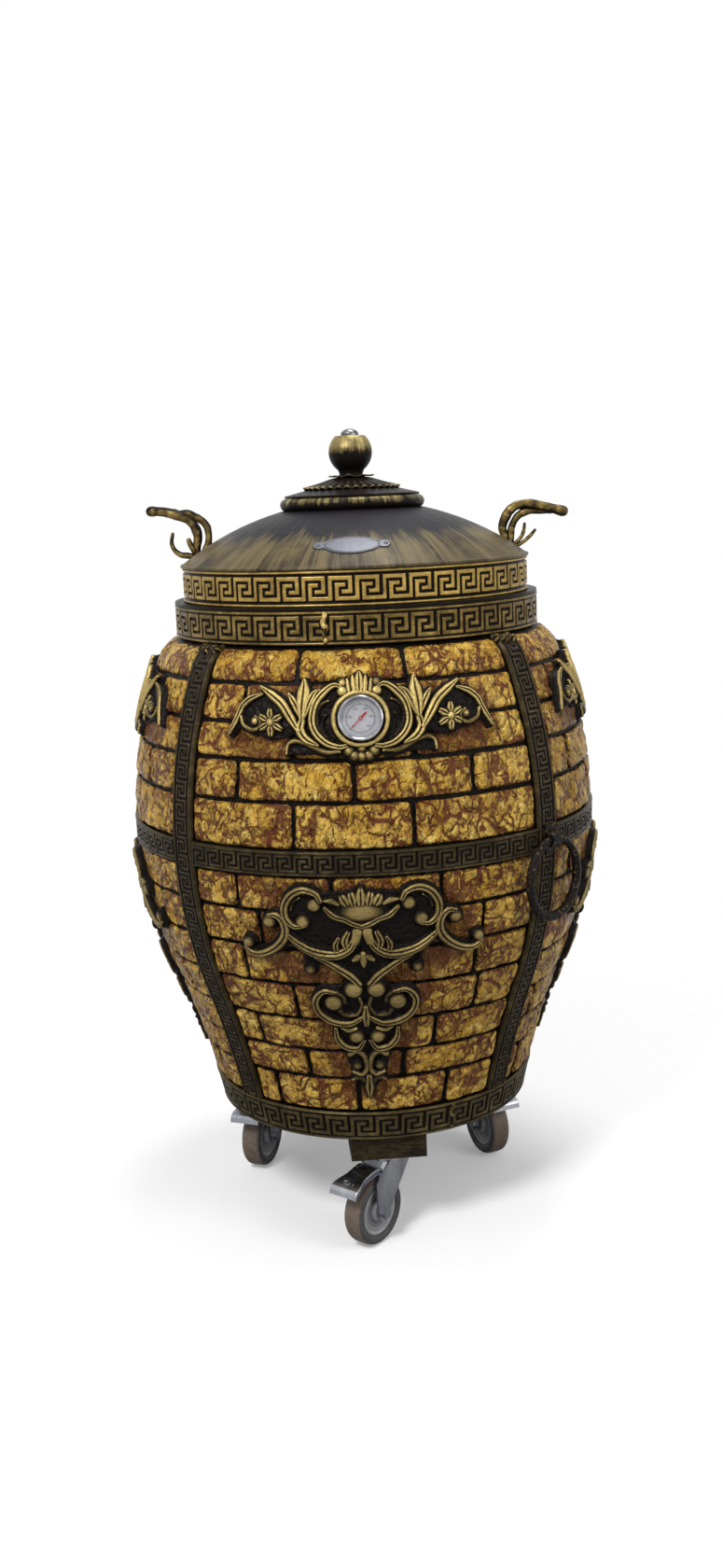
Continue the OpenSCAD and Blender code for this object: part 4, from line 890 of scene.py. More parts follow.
# %% Arm and flower
def arm_and_flower(g):
    """The arm that runs outwards over a flower of six petals."""
    stamp(g, [(79, -14), (84, -6), (90.5, 5), (99.9, 20), (112.9, 31), (128, 42)],
          [5, 9.5, 10, 9, 3], 11, 1)
    stamp(g, [(127, 33), (136, 30), (146, 25.5), (156.4, 16.6), (163.5, 3.6), (170.7, -8.3),
              (178, -20)], [3, 7, 7, 6, 3], 9, 1)
    stamp(g, [(159.2, 3), (155, -8), (143, -13.5), (133, -10), (131, -2), (137, 3)],
          [4, 5, 4.5, 4], 8)
    stamp(g, [(138.4, -2.4)], [9], 9)
    for k in range(6):
        a = math.radians(60 * k + 30)
        stamp(g, [(116.9 + 5 * math.cos(a), -3.6 + 5 * math.sin(a)),
                  (116.9 + 15 * math.cos(a), -3.6 + 15 * math.sin(a))], [4, 9, 6], 9, 1)
    stamp(g, [(116.9, -3.6)], [8], 11)


# %% Crown and shell
def crown_and_shell(g):
    """The garland and beads below the gauge, the crown above it, and the ring round it."""
    stamp(g, [(28, -41), (45.3, -41.5), (59.9, -35.5), (72.2, -29.6), (84.7, -27.3),
              (93.6, -32), (96.1, -43.8)], [4, 6, 5, 5, 2], 8)
    for x, y, d in ((16, -41, 11), (9, -47, 11), (0, -48, 11), (0, -38, 9)):
        stamp(g, [(x, y)], [d], 9)
    stamp(g, [(0, 34), (0, 58)], [6, 9, 9, 4], 12, 1)
    stamp(g, [(6.5, 34), (8, 54)], [5, 7, 3], 10)
    stamp(g, [(13, 33), (15, 50)], [5, 6, 3], 9)
    stamp(g, [(21, 46)], [10], 9)
    ring = [(33.5 * math.sin(a / 8), 33.5 * math.cos(a / 8)) for a in range(26)]
    stamp(g, ring, [6], 10)


# %% Upper ornament
def upper_relief(with_gauge):
    g = relief_grid(190, -60, 70)
    fill(g, [(0, 44), (30, 46), (58, 22), (62, -5), (56, -24), (40, -38), (0, -44)], 2.0)
    fill(g, [(76, -12), (96, 16), (125, 38), (150, 24), (166, 0), (160, -12), (135, -17),
             (118, -24), (97, -20)], 2.0)
    fill(g, [(26, -38), (60, -33), (84, -26), (95, -34), (94, -42), (62, -42), (34, -50)], 2.0)
    for draw in (frame_scrolls, arm_and_flower, crown_and_shell):
        draw(g)
    gx, gy = np.meshgrid(g[0], g[1])
    r = np.hypot(gx, gy)
    if with_gauge:
        g[2][r < 31] = 0
    else:
        petals = 0.6 + 0.4 * np.abs(np.cos(5 * np.arctan2(gy, gx)))
        g[2][r < 31] = (3 + 8 * petals * np.sqrt(np.clip(1 - (r / 31) ** 2, 0, 1)))[r < 31]
    return g


gauge_z = 774
upright = math.cos(math.atan(arc_slope(gauge_z)))
uppers = [cast("upper_scrolls", upper_relief(az == 0), az,
               lambda y: gauge_z + y * upright) for az in (0, 90, 180, 270)]
upper_scrolls = join("upper_scrolls", uppers)
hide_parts("upper_ornaments")
print("upper ornament points", len(upper_scrolls.data.vertices))

# %% [markdown]
# The lower ornament hangs like a bunch: a crown between scrolls, then smaller and
# smaller pairs of curls down to a leaf tip. Heights here are above the floor before
# the barrel was set 14 mm lower on its casters. The front one hangs a little to the left.

# %% Crown between scrolls
def lower_crown(g):
    """The crown in its bowl, with the scrolls at both sides."""
    stamp(g, [(52, 556), (58, 566), (74, 571), (90, 564), (100, 548), (99, 531), (88, 521),
              (76, 522)], [5, 8, 9, 8, 5], 11, 1)
    stamp(g, [(61, 550)], [14], 10)
    stamp(g, [(77, 527)], [15], 10)
    stamp(g, [(80, 560), (89, 553), (92, 543)], [2.5, 3.5, 2.5], 7)
    stamp(g, [(123, 534), (112, 535), (102, 524), (102, 506), (114, 490), (133, 479),
              (150, 478), (160, 486)], [5, 9, 10, 9, 8, 5], 11, 1)
    stamp(g, [(123, 525)], [14], 10)
    stamp(g, [(156, 492)], [12], 10)
    stamp(g, [(98, 508), (86, 497), (71, 487), (52, 481), (33, 481), (18, 489), (10, 502)],
          [5, 9, 11, 10, 8], 11, 2)
    stamp(g, [(10, 500), (6, 513)], [9, 11], 11)
    stamp(g, [(20, 488), (23, 500), (19, 511)], [6, 9, 6], 10, 1)
    stamp(g, [(33, 482), (35, 494), (31, 504)], [6, 8, 4], 9, 1)
    x, y, h = g
    gx, gy = np.meshgrid(x, y)
    bowl = np.clip(1 - (gx / 36) ** 2 - ((gy - 541) / 17) ** 2, 0, 1)
    np.maximum(h, np.where(bowl > 0, 3 + 7 * np.sqrt(bowl), 0), out=h)
    stamp(g, [(0, 553), (0, 570)], [8, 11, 6], 12, 1, both=False)
    for cx, cy in ((12, 563), (23, 560)):
        stamp(g, [(cx * 0.8, 552), (cx, cy)], [6, 11, 8], 11, 1)
    stamp(g, [(47, 547), (36, 536), (22, 531), (11, 525), (0, 521)], [4, 7, 7, 7, 6], 10, 1)
    stamp(g, [(48, 557), (38, 556), (29, 552)], [2, 7, 5], 9)
    stamp(g, [(0, 482), (0, 465)], [6, 9, 4], 10)
    stamp(g, [(3, 479), (13, 473)], [5, 8, 4], 9)


# %% Hanging curls
def hanging_curls(g):
    """Pairs of curls that get smaller down to the leaf tip."""
    stamp(g, [(62, 478), (47, 470), (31, 459), (17, 448), (8, 437)], [4, 7, 8, 9, 8], 10, 1)
    stamp(g, [(15, 428)], [18], 11)
    stamp(g, [(76, 487), (75, 474), (71, 464)], [3, 3.5, 3], 6)
    stamp(g, [(70, 458)], [11], 9)
    stamp(g, [(38, 424), (55, 425), (66, 410), (62, 391), (45, 377), (22, 374), (4, 385)],
          [4, 8, 8, 8, 5], 10, 1)
    stamp(g, [(42, 408)], [18], 11)
    stamp(g, [(38, 424), (29, 417), (27, 409)], [4, 5, 6], 8)
    stamp(g, [(34, 395), (28, 388), (13, 388), (5, 402), (8, 416)], [6, 4, 4.5, 4], 8)
    stamp(g, [(0, 400), (0, 372)], [5, 10, 5], 11, 1)
    stamp(g, [(41, 365), (39, 348), (28, 335), (13, 333), (5, 345)], [4, 8, 8, 5], 10, 1)
    stamp(g, [(14, 352)], [16], 10)
    stamp(g, [(34, 368), (24, 363), (14, 366)], [3, 7, 4], 9)
    stamp(g, [(24, 323), (15, 328), (5, 319), (2, 301), (9, 290), (20, 294)],
          [7, 6, 7, 6, 4], 9)
    stamp(g, [(15, 304)], [11], 9)
    stamp(g, [(22, 281), (12, 284), (3, 276)], [3, 8, 5], 8)
    stamp(g, [(0, 286), (0, 262), (0, 250)], [7, 10, 3], 10, 1)


# %% Lower ornament
barrel_drop, front_shift = 14, 1.4


def lower_relief():
    g = relief_grid(178, 240, 582)
    fill(g, [(0, 568), (60, 564), (98, 548), (104, 510), (92, 490), (60, 482), (78, 462),
             (50, 464), (30, 452), (10, 430), (0, 425)], 1.8)
    fill(g, [(0, 432), (44, 428), (66, 409), (62, 388), (45, 372), (42, 350), (28, 330),
             (26, 308), (19, 288), (8, 268), (0, 262)], 1.8)
    for draw in (lower_crown, hanging_curls):
        draw(g)
    return g


lowers = [cast("lower_scrolls", lower_relief(), az - front_shift * (az == 0),
               lambda y: y - barrel_drop) for az in (0, 90, 270)]
lower_scrolls = join("lower_scrolls", lowers)
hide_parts("lower_ornaments")
print("lower ornament points", len(lower_scrolls.data.vertices))

# %% [markdown]
# The castings were painted like the bands, but black stays in their deep hollows. The
# lower ones are darker: partly less gold, and partly painted shade, because they sit low
# where less light reaches. So they get a darker mix of the same finish.

# %% Scroll finish
carved_gold = gilded("carved_gold", "raised", 0.46, gold=(0.10, 0.068, 0.022, 1),
                     bright=(0.52, 0.39, 0.14, 1), metal=0.45, scale=0.7, depth=0.0022)
cover(upper_scrolls, carved_gold)
# Darker mix for the lower castings: partly less gold, partly painted shade
carved_gold_shaded = gilded("carved_gold_shaded", "raised", 0.40, gold=(0.085, 0.060, 0.022, 1),
                     bright=(0.34, 0.25, 0.095, 1), metal=0.45, scale=0.7, depth=0.0022)
cover(lower_scrolls, carved_gold_shaded)
print("scrolls", carved_gold.name, carved_gold_shaded.name)

# %% [markdown]
# ## Forged bars and turned pieces
# Two more shapes cover the metalwork. A bar is swept along a smooth path, with grooves
# left by the forging die and dents left by the hammer. A turned piece spins a profile
# round an axis, and its rim can be pressed into waves.

# %% Bar and turning helpers
def bar(name, points, radii, body, around=24, grooves=0, dents=0.0, depth=0.2, step=1.2,
        mirror=False, closed=False):
    """A bar through points in millimetres; its radii run from start to end."""
    path, run = curve(points, step)
    if mirror:
        path = path * (-1, 1, 1)
    lean = np.gradient(path, axis=0)
    lean /= np.linalg.norm(lean, axis=1)[:, None]
    side, sides = np.cross(lean[0], (0.31, 0.9, 0.2)), []
    for t in lean:
        side = side - t * np.dot(side, t)
        side = side / np.linalg.norm(side)
        sides.append(side)
    sides = np.array(sides)
    others = np.cross(lean, sides)
    a = np.linspace(0, 2 * math.pi, around, endpoint=False)
    length = len(path) * step
    r = np.interp(run, np.linspace(0, 1, len(radii)), radii)[:, None]
    groove = (0.5 + 0.5 * np.cos(grooves * a)) ** 3 if grooves else 0 * a
    ripple = soft_noise(run[:, None] * length / 5, 2.5 * np.sin(a) + 10, len(name)) - 0.5
    thick = r * (1 - depth * groove + dents * ripple)
    if not closed:
        ends = np.clip(np.minimum(run, 1 - run)[:, None] * length / r, 0, 1)
        thick = thick * np.sqrt(1 - (1 - ends) ** 2)
    points = (path[:, None] + sides[:, None] * (np.cos(a)[:, None] * thick[..., None])
              + others[:, None] * (np.sin(a)[:, None] * thick[..., None])) * MM
    raised = np.clip(0.72 - 0.75 * groove + 3 * dents * ripple, 0, 1)
    return sheet(name, points, body, marks={"raised": raised + 0 * thick}, loop=True)


def turned(name, profile, body, at=(0, 0, 0), axis=(0, 0, 1), around=120, step=1.5,
           wave=None, rule=None):
    """Spins (radius, height) points in millimetres round an axis."""
    p = np.array(profile, float)
    run = np.concatenate([[0], np.cumsum(np.linalg.norm(np.diff(p, axis=0), axis=1))])
    t = np.unique(np.concatenate([np.linspace(s, e, max(int((e - s) / step), 1) + 1)
                                  for s, e in zip(run, run[1:])]))
    r, h = np.interp(t, run, p[:, 0]), np.interp(t, run, p[:, 1])
    a, r = np.meshgrid(np.linspace(0, 2 * math.pi, around, endpoint=False), r)
    h = h[:, None] + 0 * r
    marks = {"raised": rule(a, r, h)} if rule else {}
    if wave:
        r, h = wave(a, r, h)
    z = np.array(Vector(axis).normalized())
    x = np.cross(z, (0, 0, 1)) if abs(z[2]) < 0.9 else np.array([1.0, 0, 0])
    x /= np.linalg.norm(x)
    y = np.cross(z, x)
    points = (np.array(at, float) + (r * np.cos(a))[..., None] * x
              + (r * np.sin(a))[..., None] * y + h[..., None] * z) * MM
    return sheet(name, points, body, marks=marks, loop=True)


# %% [markdown]
# ## The lid
# The dome was painted gloss black and then brushed outwards with bronze, in strokes that
# start raggedly near the top and close up at the rim. A painted image would stretch on the
# dome, so the noise is laid in coordinates that run quickly round the axis and slowly
# outwards. Every stroke then follows the slope by itself.

# %% Coordinates round the axis
def part_of(tree, axis):
    """One object coordinate, in metres: 0 for x, 1 for y, 2 for z."""
    return add(tree, "SeparateXYZ", links={0: add(tree, "TexCoord").outputs["Object"]}
               ).outputs[axis]


def radial(tree, along):
    """Coordinates that run round the axis quickly and outwards slowly, and the radius."""
    flat = add(tree, "CombineXYZ", links={0: part_of(tree, 0), 1: part_of(tree, 1)}).outputs[0]
    out = add(tree, "VectorMath", links={0: flat}, operation="LENGTH").outputs["Value"]
    unit = add(tree, "VectorMath", links={0: flat}, operation="NORMALIZE").outputs[0]
    far = add(tree, "CombineXYZ", links={2: times(tree, out, along)}).outputs[0]
    return add(tree, "VectorMath", links={0: unit, 1: far}, operation="ADD").outputs[0], out


# %% Dome finish
bronze_from, bronze_full = 0.13, 0.225
dome_paint, tree, shader = finish("dome_bronze", 0.4, Specular_IOR_Level=0.10)
fan, out = radial(tree, 0.28)
ragged = noise(tree, fan, 9, 4, 0.62)
fine_strokes = noise(tree, fan, 62, 4, 0.7)
wide_strokes = noise(tree, fan, 20, 4, 0.65)
patches = noise(tree, place(tree), 13, 3)
mixed = plus(tree, times(tree, fine_strokes, 0.35), times(tree, wide_strokes, 0.65))
reach = plus(tree, span(tree, out, bronze_from, bronze_full, -0.8, 0.75),
             swing(tree, ragged, 2.4))
bronzed = span(tree, plus(tree, reach, swing(tree, fine_strokes, 0.9)), 0.0, 0.55)
tone = blend(tree, span(tree, mixed, 0.42, 0.60), (0.028, 0.021, 0.011, 1),
             (0.115, 0.088, 0.042, 1))
tone = blend(tree, times(tree, span(tree, patches, 0.46, 0.64), 0.5), tone,
             (0.145, 0.112, 0.050, 1))
paint_with(tree, shader, blend(tree, bronzed, (0.006, 0.005, 0.007, 1), tone),
           span(tree, fine_strokes, 0.3, 0.7, 0.34, 0.52))
tree.links.new(times(tree, bronzed, 0.12), shader.inputs["Metallic"])
bump(tree, shader, fine_strokes, 0.0006, 0.5)
cover(cad["lid_dome"], dome_paint)
print("bronze starts", bronze_from, "m from the axis and is full at", bronze_full)

# %% [markdown]
# ## The name plate
# A thin pressed oval with a lug and a screw at each end. It could be cut from a cylinder,
# but the dome under it is curved. So it is drawn flat as a height map and laid on the dome
# as a shallow curved sheet.

# %% Name plate
dome_centre, dome_arc = 629.25, 420
plate_az, plate_r = -0.75, 212.0
plate_half_w, plate_half_h, lug_x, lug_r = 41.5, 20.5, 43.5, 8.6


def on_dome(x, y, out):
    """A point on the dome: x sideways, y down the slope from the plate's middle."""
    tip = math.asin(plate_r / dome_arc) + y / dome_arc
    r = dome_arc + out
    side = x / (dome_arc * np.sin(tip))
    a = math.radians(plate_az) + side
    return np.stack([r * np.sin(tip) * np.sin(a), -r * np.sin(tip) * np.cos(a),
                     dome_centre + r * np.cos(tip)], -1) * MM


x, y = np.meshgrid(np.arange(-55, 55.4, 0.4), np.arange(-23, 23.4, 0.4))
oval = 1 - (np.abs(x) / plate_half_w) ** 1.75 - np.abs(y / plate_half_h) ** 1.9
lugs = 1 - np.hypot(np.abs(x) - lug_x, y) / lug_r
body_in = np.maximum(oval, lugs * 0.9)
lip = smooth(body_in, 0.0, 0.07)
line = np.exp(-((oval - 0.18) / 0.085) ** 2) * (np.abs(x) < 37)
rim_line = smooth(1 - body_in, 0.90, 0.98)
rise = np.where(body_in > 0, 0.3 + 1.3 * lip - 0.35 * line, -1.5)
name_plate = sheet("name_plate", on_dome(x, y, rise), "lid",
                   keep=np.maximum(oval, lugs) > -0.16,
                   marks={"line": np.maximum(line, rim_line)})
print("plate", len(name_plate.data.vertices), "points")


# %% Plate screws and finish
def cross_slot(a, r, h):
    """Sinks a cross into a screw's head."""
    in_slot = (np.abs(r * np.sin(a)) < 0.5) | (np.abs(r * np.cos(a)) < 0.5)
    return r, h - 0.9 * in_slot * (r < 3)


screws = []
for sx in (-45.5, 45.5):
    spot = on_dome(np.array(sx), np.array(0.0), 1.2) / MM
    screws.append(turned("plate_screw", [(3.6, 0), (3.4, 0.9), (2.3, 1.7), (0.01, 2.1)], "lid",
                         spot, spot - (0, 0, dome_centre), 40, 0.4, wave=cross_slot))
screws = join("plate_screws", screws)
plate_tin, tree, shader = finish("plate_tin", 0.45, 0.15, Specular_IOR_Level=0.2)
scuff = noise(tree, place(tree, stretch=(1, 4, 1)), 260, 4, 0.7)
tin = blend(tree, span(tree, scuff, 0.35, 0.7), (0.085, 0.090, 0.108, 1),
            (0.15, 0.158, 0.188, 1))
paint_with(tree, shader,
           blend(tree, span(tree, mark(tree, "line"), 0.25, 0.8), tin, (0.03, 0.03, 0.035, 1)),
           span(tree, scuff, 0.3, 0.7, 0.22, 0.42))
bump(tree, shader, scuff, 0.0003, 0.4)
for piece in (name_plate, screws):
    cover(piece, plate_tin)
print("screws", len(screws.data.vertices), "points")

# %% [markdown]
# ## Forged handles
# Each handle is four bars, heated, drawn out and welded to the lid's rim. A bar swept
# along a bent path keeps the taper of the drawn ends, and dents make it hand-forged.
# The points run outwards, across and up from the rim, as in the frame.

# %% Handle paths
left_bars = [
    ([(-21, 0, 8), (-21, 0, 25), (-24, 0, 44), (-19, 0, 59), (-9, 0, 69), (10, 0, 77),
      (29, 0, 81), (50, 0, 82)], [4.6, 4.4, 5.4, 4.6, 5.8, 4.8, 6]),
    ([(29, -2, 82), (4, 3, 76), (-9, 7, 77), (-20, 9, 72), (-32, 10, 64), (-38, 10, 53),
      (-38, 10, 34), (-30, 8, 18), (-22, 2, 9)], [2.5, 4.6, 4.2, 4.2, 3.8, 4, 3.2]),
    ([(-22, -3, 12), (-11, -6, 16), (1, -8, 18), (10, -8, 25), (14, -8, 36), (11, -8, 51)],
     [3.6, 3.4, 2.8, 2.2, 1.8]),
    ([(-21, -3, 18), (-13, -5, 32), (-10, -6, 42)], [3.6, 3.2, 2.4])]
right_bars = [
    ([(-28, 0, 8), (-30, 0, 26), (-33, 0, 40), (-27, 0, 57), (-15, 0, 69), (3, 0, 72),
      (19, 0, 69), (41, 0, 64), (63, 0, 57.5)], [4.6, 4.4, 5.4, 4.8, 5.6, 5, 6]),
    ([(-22, 5, 6), (-21, 6, 24), (-19, 6, 39), (-11, 6, 54), (4, 5, 62), (19, 4, 63),
      (44, 1, 60)], [4, 4.4, 3.8, 4.6, 4.4, 2.6]),
    ([(-20, 3, 11), (-7, 3, 23), (-2, 3, 33), (0, 3, 46)], [2.8, 2.2, 2.2, 1.6]),
    ([(-18, 0, 11), (-6, 0, 16), (6, 0, 25), (16, 0, 36)], [2.8, 2.2, 2.2, 1.6])]
print("bars", len(left_bars), "left,", len(right_bars), "right")

# %% Forge the handles
stoutness = 1.45
weld_heap = [(11, -4), (10, 1), (7.5, 4), (4, 6), (0.01, 6.5)]
forged_gold = gilded("forged_gold", "raised", 0.42, gold=(0.16, 0.11, 0.035, 1),
                     bright=(0.50, 0.37, 0.14, 1), metal=0.55, scale=0.7, depth=0.0012)
for name, bars, side in (("left", left_bars, -1), ("right", right_bars, 1)):
    made = []
    for points, radii in bars:
        path = [(lid_r + out, across, lid_top + rise) for out, across, rise in points]
        made.append(bar("handle_" + name, path, [stoutness * r for r in radii], "lid",
                        grooves=2, dents=0.12, depth=0.14, mirror=side < 0))
    made.append(turned("weld", weld_heap, "lid", ((lid_r - 23) * side, 1, lid_top + 10),
                       (0.35 * side, 0, 1), 40, 1.2,
                       wave=lambda a, r, h: (r * (1 + 0.16 * np.sin(3 * a) + 0.08 * np.sin(7 * a)),
                                             h + 0.8 * np.sin(5 * a) * (r > 3)),
                       rule=lambda a, r, h: 0.55 + 0.3 * np.sin(7 * a) * (r > 3)))
    grip = join("forged_handle_" + name, made)
    cover(grip, forged_gold)
    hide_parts("lid_handle_" + name)
    print(grip.name, len(grip.data.vertices), "points")
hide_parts("lid_band")

# %% [markdown]
# ## The vent cap
# The cap closes the vent: a rolled collar, a shallow cone, a ruffled rosette, a wavy star
# washer and a ball. The plain round pieces keep their CAD shape. The rosette and the star
# are turned again here, because their pressed waves need a finer mesh.

# %% Rosette and star
rosette = turned("ruffled_rosette",
                 [(17, 1083), (20, 1082.2), (36, 1077.5), (52, 1072.3), (64, 1068.2),
                  (70, 1067), (69.5, 1065.8), (60, 1067)], "vent_cap", around=480, step=1.0,
                 wave=lambda a, r, h: (r + 1.2 * np.cos(34 * a) * smooth(r, 54, 70),
                                       h + 1.3 * np.cos(34 * a) * smooth(r, 46, 68)
                                       + 0.9 * np.abs(np.cos(17 * a)) * smooth(r, 20, 30)),
                 rule=lambda a, r, h: 0.24 + 0.22 * np.cos(34 * a) * smooth(r, 26, 50)
                 + 0.34 * smooth(r, 61, 69))
star = turned("wavy_star",
              [(10, 1084), (24, 1084), (30, 1084), (31, 1083.6), (30, 1083.1), (10, 1083)],
              "vent_cap", around=320, step=1.0,
              wave=lambda a, r, h: (r * (1 + 0.09 * np.cos(8 * a) * smooth(r, 12, 30)),
                                    h + 1.0 * np.cos(8 * a + 1) * smooth(r, 14, 30)),
              rule=lambda a, r, h: 0.25 + 0.4 * smooth(r, 24, 30))
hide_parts("vent_rosette")
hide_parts("star_washer")
print("rosette", len(rosette.data.vertices), "points, star", len(star.data.vertices))

# %% [markdown]
# On the ball and the rolled collar the gold is fullest at the top and thins out downwards,
# partly from the brushing and partly as painted light from above. The disc takes a little
# more gold lower down. So how much shows depends on the height of the point, broken by
# strokes on the ball and the collar.


# %% Cap finishes
def by_height(low, high, at_low, at_high):
    return lambda tree: span(tree, part_of(tree, 2), low, high, at_low, at_high)


def brushed_and_top_lit(low, high, at_low, at_high, uneven):
    """Gold that thins out downwards in strokes: partly the brush running dry, partly painted light
    from above.
    """
    def rule(tree):
        strokes = noise(tree, radial(tree, 0.3)[0], 16, 4, 0.68)
        return plus(tree, by_height(low, high, at_low, at_high)(tree),
                    swing(tree, strokes, uneven))
    return rule


# Ball and collar: lighter on top and darker underneath, partly painted light from above
ball_paint = gilded("ball_bronze", brushed_and_top_lit(1.100, 1.130, 0.0, 0.74, 0.8), 0.5,
                    gold=(0.19, 0.145, 0.055, 1), bright=(0.5, 0.4, 0.18, 1), metal=0.5)
disc_paint = gilded("disc_bronze", by_height(1.056, 1.062, 0.42, 0.3), 0.48,
                    gold=(0.12, 0.095, 0.04, 1), bright=(0.3, 0.24, 0.11, 1), metal=0.4)
collar_paint = gilded("roll_bronze", brushed_and_top_lit(1.034, 1.0515, -0.12, 0.60, 1.5), 0.5,
                      gold=(0.16, 0.125, 0.05, 1), bright=(0.46, 0.37, 0.17, 1), metal=0.5)
petal_paint = gilded("petal_bronze", "raised", 0.52, gold=(0.14, 0.11, 0.045, 1),
                     bright=(0.36, 0.29, 0.13, 1), metal=0.45)
for name, paint in (("ball_knob", ball_paint), ("vent_cap_disc", disc_paint),
                    ("vent_collar", collar_paint)):
    cover(cad[name], paint)
for piece in (rosette, star):
    cover(piece, petal_paint)
print("cap paints", [m.name for m in (ball_paint, disc_paint, collar_paint, petal_paint)])

# %% [markdown]
# ## Bare metals
# Plated and polished pieces are real metal, so their shader is metallic all over. What
# makes them read as used is uneven roughness and a very fine bump.

# %% Metal finishes
def metal(name, tint, shade, rough, scale=90, stretch=(1, 1, 1), bumpy=0.0003):
    m, tree, shader = finish(name, rough, 1.0)
    cloud = noise(tree, place(tree, stretch=stretch), scale, 5, 0.65)
    fine = noise(tree, place(tree), 700, 2)
    paint_with(tree, shader, blend(tree, span(tree, cloud, 0.35, 0.68), shade, tint),
               span(tree, cloud, 0.3, 0.7, rough * 0.75, rough * 1.35))
    bump(tree, shader, fine, bumpy, 0.35)
    return m


zinc = metal("zinc", (0.43, 0.44, 0.47, 1), (0.27, 0.28, 0.31, 1), 0.24, 22, (1, 1, 0.35))
chrome = metal("chrome_trim", (0.52, 0.52, 0.54, 1), (0.24, 0.24, 0.26, 1), 0.16, 60)
nut_steel = metal("nut_steel", (0.20, 0.20, 0.21, 1), (0.09, 0.09, 0.095, 1), 0.26, 140)
raw_iron = metal("grate_iron", (0.10, 0.095, 0.09, 1), (0.05, 0.045, 0.042, 1), 0.6, 120,
                 bumpy=0.0012)
print("metals", [m.name for m in (zinc, chrome, nut_steel, raw_iron)])


# %% Hammered and pad finishes
def hammer_marks(tree):
    """High on the lumps that hammering leaves, low in the dents between them."""
    cells = add(tree, "TexVoronoi", {"Scale": 130.0}, {"Vector": place(tree)}).outputs[0]
    return span(tree, cells, 0.0, 0.6, 0.75, 0.2)


hammered = gilded("dark_bronze", hammer_marks, 0.50, dark=(0.012, 0.009, 0.007, 1),
                  gold=(0.095, 0.066, 0.034, 1), bright=(0.27, 0.20, 0.105, 1), metal=0.5,
                  depth=0.0018)
pad_paint = gilded("pad_bronze", None, 0.50, dark=(0.014, 0.010, 0.007, 1),
                   gold=(0.10, 0.075, 0.03, 1), bright=(0.32, 0.245, 0.10, 1), metal=0.3,
                   scale=0.6)
print("paints", hammered.name, pad_paint.name)

# %% [markdown]
# ## Ring handles
# A rod was hammered round a former and hangs loose in a bracket on the strap. A torus would
# be too even, so the ring is a closed bar whose thickness wanders. It is thinnest at the
# top, where it runs through the bracket, so that it can swing.

# %% Rings
ring_hang_r, ring_z, ring_r = 349.5, 535.0, 54
for body, az in (("ring_front", 47), ("ring_rear", 227)):
    a = math.radians(az)
    centre = np.array([ring_hang_r * math.sin(a), -ring_hang_r * math.cos(a), ring_z])
    side, upward = np.array([math.cos(a), math.sin(a), 0]), np.array([0, 0, 1.0])
    hoop = bar("ring", [centre + ring_r * (side * math.sin(t) + upward * math.cos(t))
                        for t in np.linspace(0, 2 * math.pi, 61)],
               [4.9, 6.0, 6.6, 6.0, 4.9], body, dents=0.22, closed=True, around=28)
    cover(hoop, hammered)
    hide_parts("ring_handle_front" if az == 47 else "ring_handle_rear")
    print(body, len(hoop.data.vertices), "points")

# %% [markdown]
# ## Weld seams
# The collar, the hoop and the strap ends were joined with thick beads that nobody ground
# away, and the gold paint caught on them. Each seam is a short bar with strong dents, and
# each blob is a low turned heap with a wavy rim.

# %% Welds
def seam(az, low, high, radius, thick):
    a = math.radians(az)
    wander = [0, 1.6, -1.2, 1.0, -1.6, 0.8, 0]
    points = [((radius(z) + 0.4) * math.sin(a) + w, -(radius(z) + 0.4) * math.cos(a), z)
              for z, w in zip(np.linspace(low, high, len(wander)), wander)]
    return bar("weld_bead", points, [thick * k for k in (0.8, 1.2, 0.8, 1.3, 0.9, 1.2, 0.7)],
               "oven", dents=0.9, step=0.8)


def blob(az, side, k):
    """The k-th heap across a strap's top, side millimetres from its middle line."""
    a = math.radians(az)
    spot = on_wall(az + math.degrees(side / 262), neck_z - 6.5 - 2 * (k % 2), 2.4) / MM
    return turned("weld_blob", [(7.5, -3), (6.5, 1), (4, 3.4), (0.01, 4.2)], "oven", spot,
                  (math.sin(a), -math.cos(a), 0.9), 30, 1.2,
                  wave=lambda a, r, h: (
                      r * (1 + 0.2 * np.sin(3 * a + k) + 0.1 * np.sin(8 * a)),
                      h + 0.7 * np.sin(4 * a + k) * (r > 2)),
                  rule=lambda a, r, h: 0.45 + 0.3 * np.sin(5 * a + k) * (r > 2))


collar_weld = seam(-9.3, collar_z + 1, collar_top - 4, lambda z: collar_r, 2.9)
hoop_weld = seam(27, foot_z + 1, hoop_top - 1, lambda z: wall_radius(z) + 1.0, 2.0)
hoop_weld.name = "hoop_weld"
cover(hoop_weld, hoop_band)
welds = join("weld_beads", [collar_weld] + [blob(az, side, k) for az in (47, 133, 227, 313)
                                            for k, side in enumerate((-14, -5, 5, 13))])
weld_gold = gilded("weld_gold", "raised", 0.5, gold=(0.16, 0.105, 0.03, 1),
                   bright=(0.5, 0.36, 0.13, 1), depth=0.0015)
cover(welds, weld_gold)
print("weld points", len(welds.data.vertices), "and", len(hoop_weld.data.vertices))

# %% [markdown]
# ## Thermometer
# The dial is printed: a grey ring with marks and numbers round it. The print could be an
# image, but thin flat pieces on the dial stay sharp and follow the part everywhere. The
# dial leans with the wall, so its plane is worked out first.

# %% The dial's plane
gauge_lean = math.atan(arc_slope(gauge_z))
gauge_out = np.array([0, -math.cos(gauge_lean), -math.sin(gauge_lean)])
gauge_up = np.array([0, -math.sin(gauge_lean), math.cos(gauge_lean)])
gauge_at = np.array([0, -float(wall_radius(gauge_z)), gauge_z])
print_out, ring_out = 9.12, 9.1


def on_dial(x, y, out):
    x, y = np.broadcast_arrays(np.asarray(x, float), y)
    return (gauge_at + x[..., None] * np.array([1.0, 0, 0]) + y[..., None] * gauge_up
            + gauge_out * out) * MM


print("dial leans", round(math.degrees(gauge_lean), 1), "degrees")


